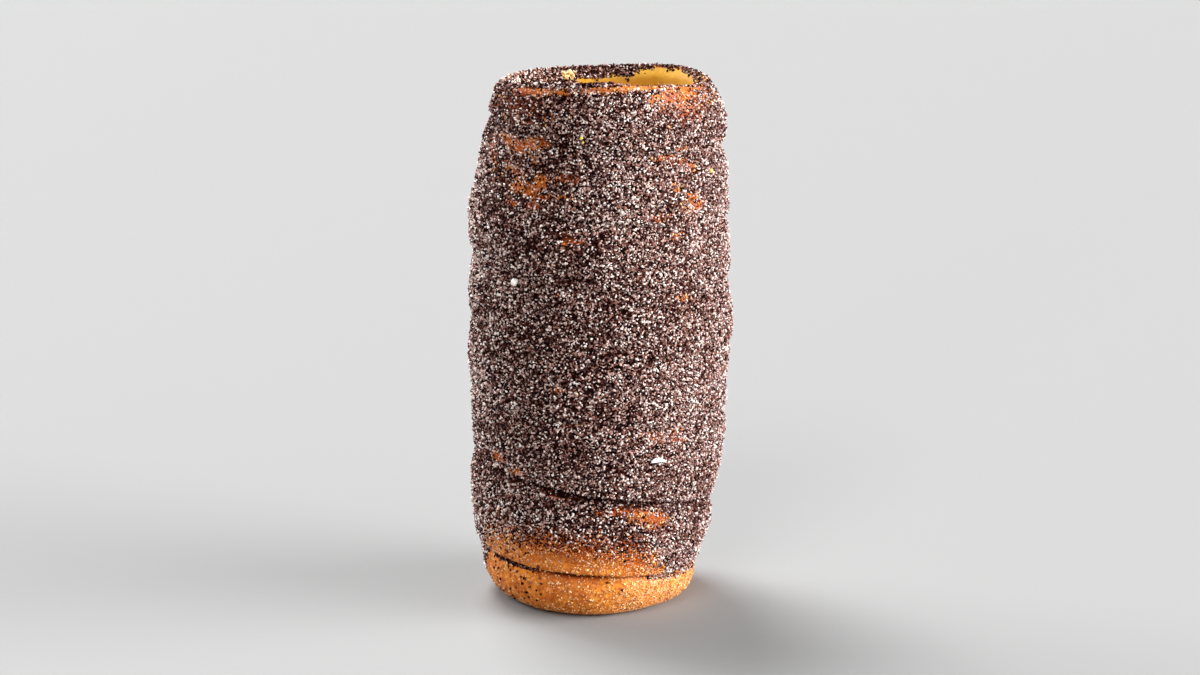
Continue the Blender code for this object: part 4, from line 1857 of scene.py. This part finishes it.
@dataclass
class GrainCoat:
    """The whole coat of poppy seeds and sugar."""

    scatter: Scatter
    draw: np.random.Generator
    tried: int = 470000
    spacing: float = 0.00052
    raised: Limits = (0.0, 0.00034)
    heaped_tried: int = 22000
    heaped_spacing: float = 0.0011
    heaped: Limits = (0.0004, 0.00072)
    # Painted light and shade: by azimuth, seeds are drawn darker on the left of the front and lighter on the
    # right, where the key light falls.
    seed_painted_shading: Points = (
        (-180, 0.9), (-90, 1.0), (-60, 1.25), (-25, 1.35), (-5, 1.1), (15, 0.72), (35, 0.38), (75, 0.42),
        (110, 0.6), (180, 0.9),
    )
    # Painted light and shade: by azimuth, sugar crystals are drawn lighter on the left of the front, standing
    # in for glints, and darker on the right, where the key light falls.
    sugar_dulled: Points = (
        (-180, 1.0), (-90, 0.85), (-60, 0.75), (-25, 0.75), (0, 0.84), (20, 0.9), (45, 1.0), (80, 1.62),
        (120, 1.35), (180, 1.0),
    )
    dust_size: float = 0.66
    bare_browning: float = 0.5
    size_limits: Limits = (0.55, 1.6)
    covered_at: Step = (0.0, 0.5)
    bare_at: Step = (0.0, 0.3)
    bare_seeds_larger: float = 0.45

    def frames(self, outward: Array, tilt: float) -> Array:
        """Turned frames for grains that lie on the dough.

        Args:
            outward: the dough's outward directions.
            tilt: how far grains lean from lying flat, in radians.

        Returns:
            One matrix for each, with the grain's own axes as its columns.
        """
        count = len(outward)
        lean = outward + tilt * self.draw.standard_normal((count, 3))
        lean /= np.linalg.norm(lean, axis=1)[:, None]
        aside = self.draw.standard_normal((count, 3))
        along = np.cross(aside, lean)
        along /= np.linalg.norm(along, axis=1)[:, None]
        return np.stack([along, np.cross(lean, along), lean], axis=-1)

    def cover(self, spots: Spots) -> Array:
        """Seed cover at the spots, from 0 to 1."""
        return spots.seeds / self.scatter.seed_share

    def add_piece(self, grain: Grain, versions: Array, spots: Spots, finish: Material) -> None:
        """Joins all grains of one kind into a piece.

        Args:
            grain: the kind.
            versions: corners of each version of its shape.
            spots: where the grains lie.
            finish: the kind's material.
        """
        count = len(spots.places)
        shape = grain.shape.value
        version = self.draw.integers(0, len(versions), count)
        size = np.clip(1 + shape.size_spread * self.draw.standard_normal(count), *self.size_limits)
        if grain.shape is Shape.CRYSTAL:
            size *= self.dust_size + (1 - self.dust_size) * ramp(*self.covered_at, self.cover(spots))
        if grain.shape is Shape.SEED:
            size *= 1 + self.bare_seeds_larger * (1 - ramp(*self.bare_at, self.cover(spots)))
        local = versions[version] * (size[:, None] * np.array(shape.half_sizes))[:, None, :]
        turned = np.einsum("nij,nkj->nki", self.frames(spots.outward, shape.tilt), local)
        points = spots.places[:, None, :] + turned
        first_corners = np.arange(count) * len(SIX_CORNERS)
        faces = np.array(EIGHT_SIDES)[None] + first_corners[:, None, None]
        data = mesh_from_arrays(grain.piece, points.reshape(-1, 3), faces.reshape(-1, 3))
        tint = self.draw.uniform(0, 1, count)
        degrees = np.degrees(np.arctan2(spots.places[:, 0], -spots.places[:, 1]))
        if grain.shape is Shape.SEED:
            # Painted light and shade: the seed's tint by azimuth.
            tint **= curve(self.seed_painted_shading, degrees)
            data.shade_smooth()
        if grain.shape is Shape.CRYSTAL:
            # Painted glints and shade: the crystal's tint by azimuth.
            tint **= curve(self.sugar_dulled, degrees)
        add_values(data, "tint", np.repeat(tint, len(SIX_CORNERS)))
        data.materials.append(finish)
        show(grain.piece, data)

    def build(self, finishes: dict[Grain, Material]) -> None:
        """Scatters every kind of grain.

        Args:
            finishes: material of each kind.
        """
        spots = self.scatter.spread(self.tried, self.spacing, self.raised)
        heaped = self.scatter.spread(self.heaped_tried, self.heaped_spacing, self.heaped)
        log.info("grains: %d on the dough and %d heaped", len(spots.places), len(heaped.places))
        spots = spots.joined(heaped)
        count = len(spots.places)
        drawn = self.draw.uniform(0, 1, count) * (spots.seeds + spots.sugar + spots.melted)
        is_seed = drawn < spots.seeds
        is_melted = drawn > spots.seeds + spots.sugar
        of_shape = {Shape.SEED: is_seed, Shape.CRYSTAL: ~is_seed & ~is_melted, Shape.BAKED_IN: is_melted}
        bare = 1 - ramp(*self.covered_at, self.cover(spots))
        kind_draw = 1 - (1 - self.draw.uniform(0, 1, count)) * (1 - self.bare_browning * bare)
        for shape in Shape:
            versions = shape.value.versions(self.draw)
            start = 0.0
            for grain in (kind for kind in Grain if kind.shape is shape):
                chosen = of_shape[shape] & (kind_draw >= start) & (kind_draw < start + grain.share)
                start += grain.share
                self.add_piece(grain, versions, spots.only(chosen), finishes[grain])


@dataclass(frozen=True)
class Bit:
    """Stray bit on the wall: azimuth in degrees, height, distance from the axis and half size."""

    azimuth: float
    height: float
    radius: float
    size: float


@dataclass
class LooseBits:
    """The few stray bits that stand out: a sugar pearl, a flake, yellow crumbs and torn pale dough."""

    tube: WoundTube
    pearl: Bit = Bit(-40.0, 0.1306, 0.0498, 0.0014)
    pearl_roughness: float = 0.25
    flake: Bit = Bit(26.6, 0.0642, 0.05, 0.0033)
    flake_slope: float = -0.12
    flake_bend: float = -0.28
    flake_taper: float = 0.35
    flake_width: float = 0.27
    flake_thickness: float = 0.16
    yellow_crumbs: Sequence[Bit] = (
        Bit(-11.6, 0.1853, 0.0447, 0.0007),
        Bit(-10.4, 0.1838, 0.0449, 0.0004),
        Bit(58.5, 0.1696, 0.0462, 0.0008),
    )
    yellow_roughness: float = 0.6
    torn_middle: tuple[float, float, float] = (-157.5, 0.1964, 0.0357)
    torn_half_sizes: Limits = (4.4, 0.0014)
    torn_sizes: Limits = (0.0003, 0.0006)
    torn_roughness: float = 1.5
    torn_count: int = 30
    torn_seed: int = 5
    bump_count: float = 1.3
    bump_shift: float = 900
    tint: float = 0.7

    def place(self, bit: Bit) -> Vector:
        """Finds the point where a bit's middle is.

        Args:
            bit: the bit.

        Returns:
            The point.
        """
        around = math.radians(bit.azimuth)
        shift = float(curve(self.tube.axis_shift, np.array([bit.height / self.tube.height]))[0])
        x = shift + bit.radius * math.sin(around) + self.tube.centring[0]
        return Vector((x, -bit.radius * math.cos(around) + self.tube.centring[1], bit.height))

    def crumb(self, mesh: OpenMesh, bit: Bit, divisions: int, roughness: float) -> None:
        """Adds a rough round crumb.

        Args:
            mesh: mesh that it goes into.
            bit: where it is and its radius.
            divisions: how finely it is divided.
            roughness: how uneven it is, as a share of its radius.
        """
        middle = self.place(bit)
        shift = Vector((bit.azimuth, bit.height * self.bump_shift, bit.radius * self.bump_shift))
        made = bmesh.ops.create_icosphere(mesh, subdivisions=divisions, radius=bit.size)
        for vert in made["verts"]:
            bump = noise.noise(vert.co / bit.size * self.bump_count + shift)
            vert.co = middle + vert.co * (1 + roughness * bump)

    def chip(self, mesh: OpenMesh, bit: Bit) -> None:
        """Adds a thin curved flake that lies along the wall.

        Args:
            mesh: mesh that it goes into.
            bit: where it is and half its length.
        """
        made = bmesh.ops.create_icosphere(mesh, subdivisions=3, radius=1.0)
        around = math.radians(bit.azimuth)
        outward = Vector((math.sin(around), -math.cos(around), 0))
        along = Vector((math.cos(around), math.sin(around), self.flake_slope)).normalized()
        up = outward.cross(along)
        middle = self.place(bit)
        for vert in made["verts"]:
            reach = vert.co.x
            taper = 1 - self.flake_taper * reach
            across = self.flake_width * taper * vert.co.y + self.flake_bend * reach**2
            thick = self.flake_thickness * vert.co.z
            vert.co = middle + bit.size * (reach * along + across * up + thick * outward)

    def show_kind(self, name: str, mesh: OpenMesh, finish: Material) -> None:
        """Turns a kind's mesh into a piece.

        Args:
            name: name of the piece.
            mesh: its mesh, which is freed.
            finish: its material.
        """
        data = bpy.data.meshes.new(name)
        mesh.to_mesh(data)
        mesh.free()
        add_values(data, "tint", np.full(len(data.vertices), self.tint))
        data.shade_smooth()
        data.materials.append(finish)
        show(name, data)

    def build(self, white: Material, yellow: Material, dough: Material) -> None:
        """Builds the bits.

        Args:
            white: material of the pearl and the flake.
            yellow: material of the yellow crumbs.
            dough: material of the pale dough crumbs at the rim.
        """
        whites = bmesh.new()
        self.crumb(whites, self.pearl, 3, self.pearl_roughness)
        self.chip(whites, self.flake)
        self.show_kind("sugar_pearl_and_flake", whites, white)
        yellows = bmesh.new()
        for bit in self.yellow_crumbs:
            self.crumb(yellows, bit, 2, self.yellow_roughness)
        self.show_kind("yellow_crumbs", yellows, yellow)
        pales = bmesh.new()
        draw = np.random.default_rng(self.torn_seed)
        azimuth, height, radius = self.torn_middle
        half_width, half_height = self.torn_half_sizes
        low, high = self.torn_sizes
        for across, up, size in draw.uniform((-1, -1, low), (1, 1, high), (self.torn_count, 3)):
            bit = Bit(azimuth + across * half_width, height + up * half_height, radius, size)
            self.crumb(pales, bit, 2, self.torn_roughness)
        self.show_kind("pale_dough_crumbs", pales, dough)


@dataclass(frozen=True)
class Lamp:
    """Far soft light: its azimuth and elevation in degrees, its strength, and its spread in degrees."""

    name: str
    azimuth: float
    elevation: float
    strength: float
    spread: float


@dataclass
class Studio:
    """Pale floor, soft lights and the camera at the photograph's angle."""

    floor_radius: float = 9.0
    floor_segments: int = 96
    floor_colour: Colour = (0.258, 0.258, 0.258)
    floor_roughness: float = 0.9
    room_colour: Colour = (1.0, 1.0, 1.0)
    room_strength: float = 0.064
    lamps: Sequence[Lamp] = tuple(Lamp(*row) for row in (
        ("key_light", 81, 8, 9.7, 48), ("right_light", 66, 38, 1.2, 70), ("left_light", -126, 20, 2.7, 36),
        ("back_light", -150, 60, 4.2, 26), ("front_light", -20, 44, 1.12, 24), ("low_light", -20, 5, 0.7, 14),
    ))
    lamp_distance: float = 2
    camera_place: tuple[float, float, float] = (0.0008, -1.2, 0.3877)
    camera_aim: tuple[float, float, float] = (0.0008, 0.0, 0.1003)
    lens: float = 96.7
    sensor: float = 36.0

    def lay_floor(self) -> None:
        """Lays a wide round floor."""
        mesh = bmesh.new()
        bmesh.ops.create_circle(mesh, cap_ends=True, segments=self.floor_segments, radius=self.floor_radius)
        data = bpy.data.meshes.new("studio_floor")
        mesh.to_mesh(data)
        mesh.free()
        material = bpy.data.materials.new("pale_floor")
        material.use_nodes = True
        shader = material.node_tree.nodes["Principled BSDF"]
        shader.inputs["Base Color"].default_value = solid(self.floor_colour)
        shader.inputs["Roughness"].default_value = self.floor_roughness
        data.materials.append(material)
        floor = bpy.data.objects.new("studio_floor", data)
        bpy.context.scene.collection.objects.link(floor)

    def hang(self, lamp: Lamp) -> None:
        """Hangs a lamp, which shines on the cake.

        Args:
            lamp: where it hangs and how it shines.
        """
        light = bpy.data.lights.new(lamp.name, "SUN")
        light.energy = lamp.strength
        light.angle = math.radians(lamp.spread)
        holder = bpy.data.objects.new(lamp.name, light)
        around, up = math.radians(lamp.azimuth), math.radians(lamp.elevation)
        towards = Vector((math.cos(up) * math.sin(around), -math.cos(up) * math.cos(around), math.sin(up)))
        holder.rotation_euler = towards.to_track_quat("Z", "Y").to_euler()
        holder.location = towards * self.lamp_distance
        bpy.context.scene.collection.objects.link(holder)

    def light(self) -> None:
        """Hangs the lamps and sets the glow of the room."""
        for lamp in self.lamps:
            self.hang(lamp)
        world = bpy.data.worlds.new("studio_room")
        world.use_nodes = True
        background = world.node_tree.nodes["Background"]
        background.inputs["Color"].default_value = solid(self.room_colour)
        background.inputs["Strength"].default_value = self.room_strength
        bpy.context.scene.world = world

    def set_camera(self) -> None:
        """Stands the camera where the photograph was taken from."""
        data = bpy.data.cameras.new("camera")
        data.lens = self.lens
        data.sensor_width = self.sensor
        camera = bpy.data.objects.new("camera", data)
        camera.location = self.camera_place
        looks = Vector(self.camera_aim) - Vector(self.camera_place)
        camera.rotation_euler = looks.to_track_quat("-Z", "Y").to_euler()
        bpy.context.scene.collection.objects.link(camera)
        bpy.context.scene.camera = camera
        bpy.context.scene.view_settings.view_transform = "Standard"


CRUST = CrustFinish("golden_crust", specular=0.03)
BORE = BoreFinish("spit_side_dough", specular=0.03, shine=0.2)
GRAIN_FINISHES = {
    Grain.SLATE_SEEDS: GrainFinish(
        "slate_seed", specular=0.03, tints=((0.019, 0.008, 0.01), (0.1, 0.055, 0.057), (0.36, 0.235, 0.22)),
    ),
    Grain.BLACK_SEEDS: GrainFinish(
        "black_seed", specular=0.01,
        tints=((0.003, 0.0004, 0.0003), (0.012, 0.0022, 0.0017), (0.12, 0.046, 0.038)),
    ),
    Grain.BROWN_SEEDS: GrainFinish(
        "brown_seed", specular=0.02, tints=((0.032, 0.005, 0.002), (0.14, 0.042, 0.03), (0.37, 0.18, 0.145)),
    ),
    Grain.WHITE_SUGAR: SugarFinish(
        "white_sugar", roughness=0.28, specular=0.4, coat=0.05,
        tints=((0.62, 0.45, 0.44), (0.84, 0.7, 0.63), (0.98, 0.91, 0.87)),
    ),
    Grain.ROSE_SUGAR: SugarFinish(
        "rose_sugar", roughness=0.32, specular=0.3,
        tints=((0.28, 0.165, 0.16), (0.5, 0.34, 0.3), (0.82, 0.63, 0.58)),
    ),
    Grain.GOLDEN_SUGAR: SugarFinish(
        "golden_sugar", roughness=0.4, specular=0.12,
        tints=((0.42, 0.1, 0.01), (0.72, 0.3, 0.07), (0.96, 0.68, 0.38)),
    ),
    Grain.BROWNED_SUGAR: SugarFinish(
        "browned_sugar", roughness=0.36, specular=0.2,
        tints=((0.18, 0.06, 0.04), (0.38, 0.19, 0.145), (0.62, 0.39, 0.33)),
    ),
}
WHITE_BIT = GrainFinish(
    "white_bit", roughness=0.4, specular=0.45, pit_scale=1800.0, pit_height=0.00005,
    tints=((0.8, 0.74, 0.68), (0.88, 0.84, 0.79), (0.93, 0.9, 0.86)),
)
YELLOW_BIT = GrainFinish(
    "yellow_bit", roughness=0.45, specular=0.3, pit_scale=1800.0, pit_height=0.00005,
    tints=((0.66, 0.44, 0.06), (0.78, 0.58, 0.11), (0.84, 0.7, 0.22)),
)
PALE_BIT = GrainFinish(
    "pale_dough_bit", specular=0.3, pit_scale=1500.0, pit_height=0.00008,
    tints=((0.8, 0.52, 0.16), (0.89, 0.65, 0.27), (0.93, 0.77, 0.42)),
)
SCATTER_SEED = 41


def main() -> None:
    """Builds the cake and the studio, piece by piece."""
    logging.basicConfig(level=logging.INFO, format="%(name)s: %(message)s")
    effects = Effects()
    studio = Studio()
    studio.set_camera()
    rise = max(value for _, value in WoundTube.rim_rise)
    tube = WoundTube(height=round(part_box(CAKE_NODE)[1].z - rise, 4))
    dough = Dough(tube, Coat(tube))
    dough.build()
    dough.dress(CRUST.material(effects), BORE.material(effects))
    draw = np.random.default_rng(SCATTER_SEED)
    coat = GrainCoat(Scatter(dough, draw), draw)
    coat.build({grain: finish.material(effects) for grain, finish in GRAIN_FINISHES.items()})
    LooseBits(tube).build(*(finish.material(effects) for finish in (WHITE_BIT, YELLOW_BIT, PALE_BIT)))
    studio.lay_floor()
    studio.light()


if __name__ == "__main__":
    main()
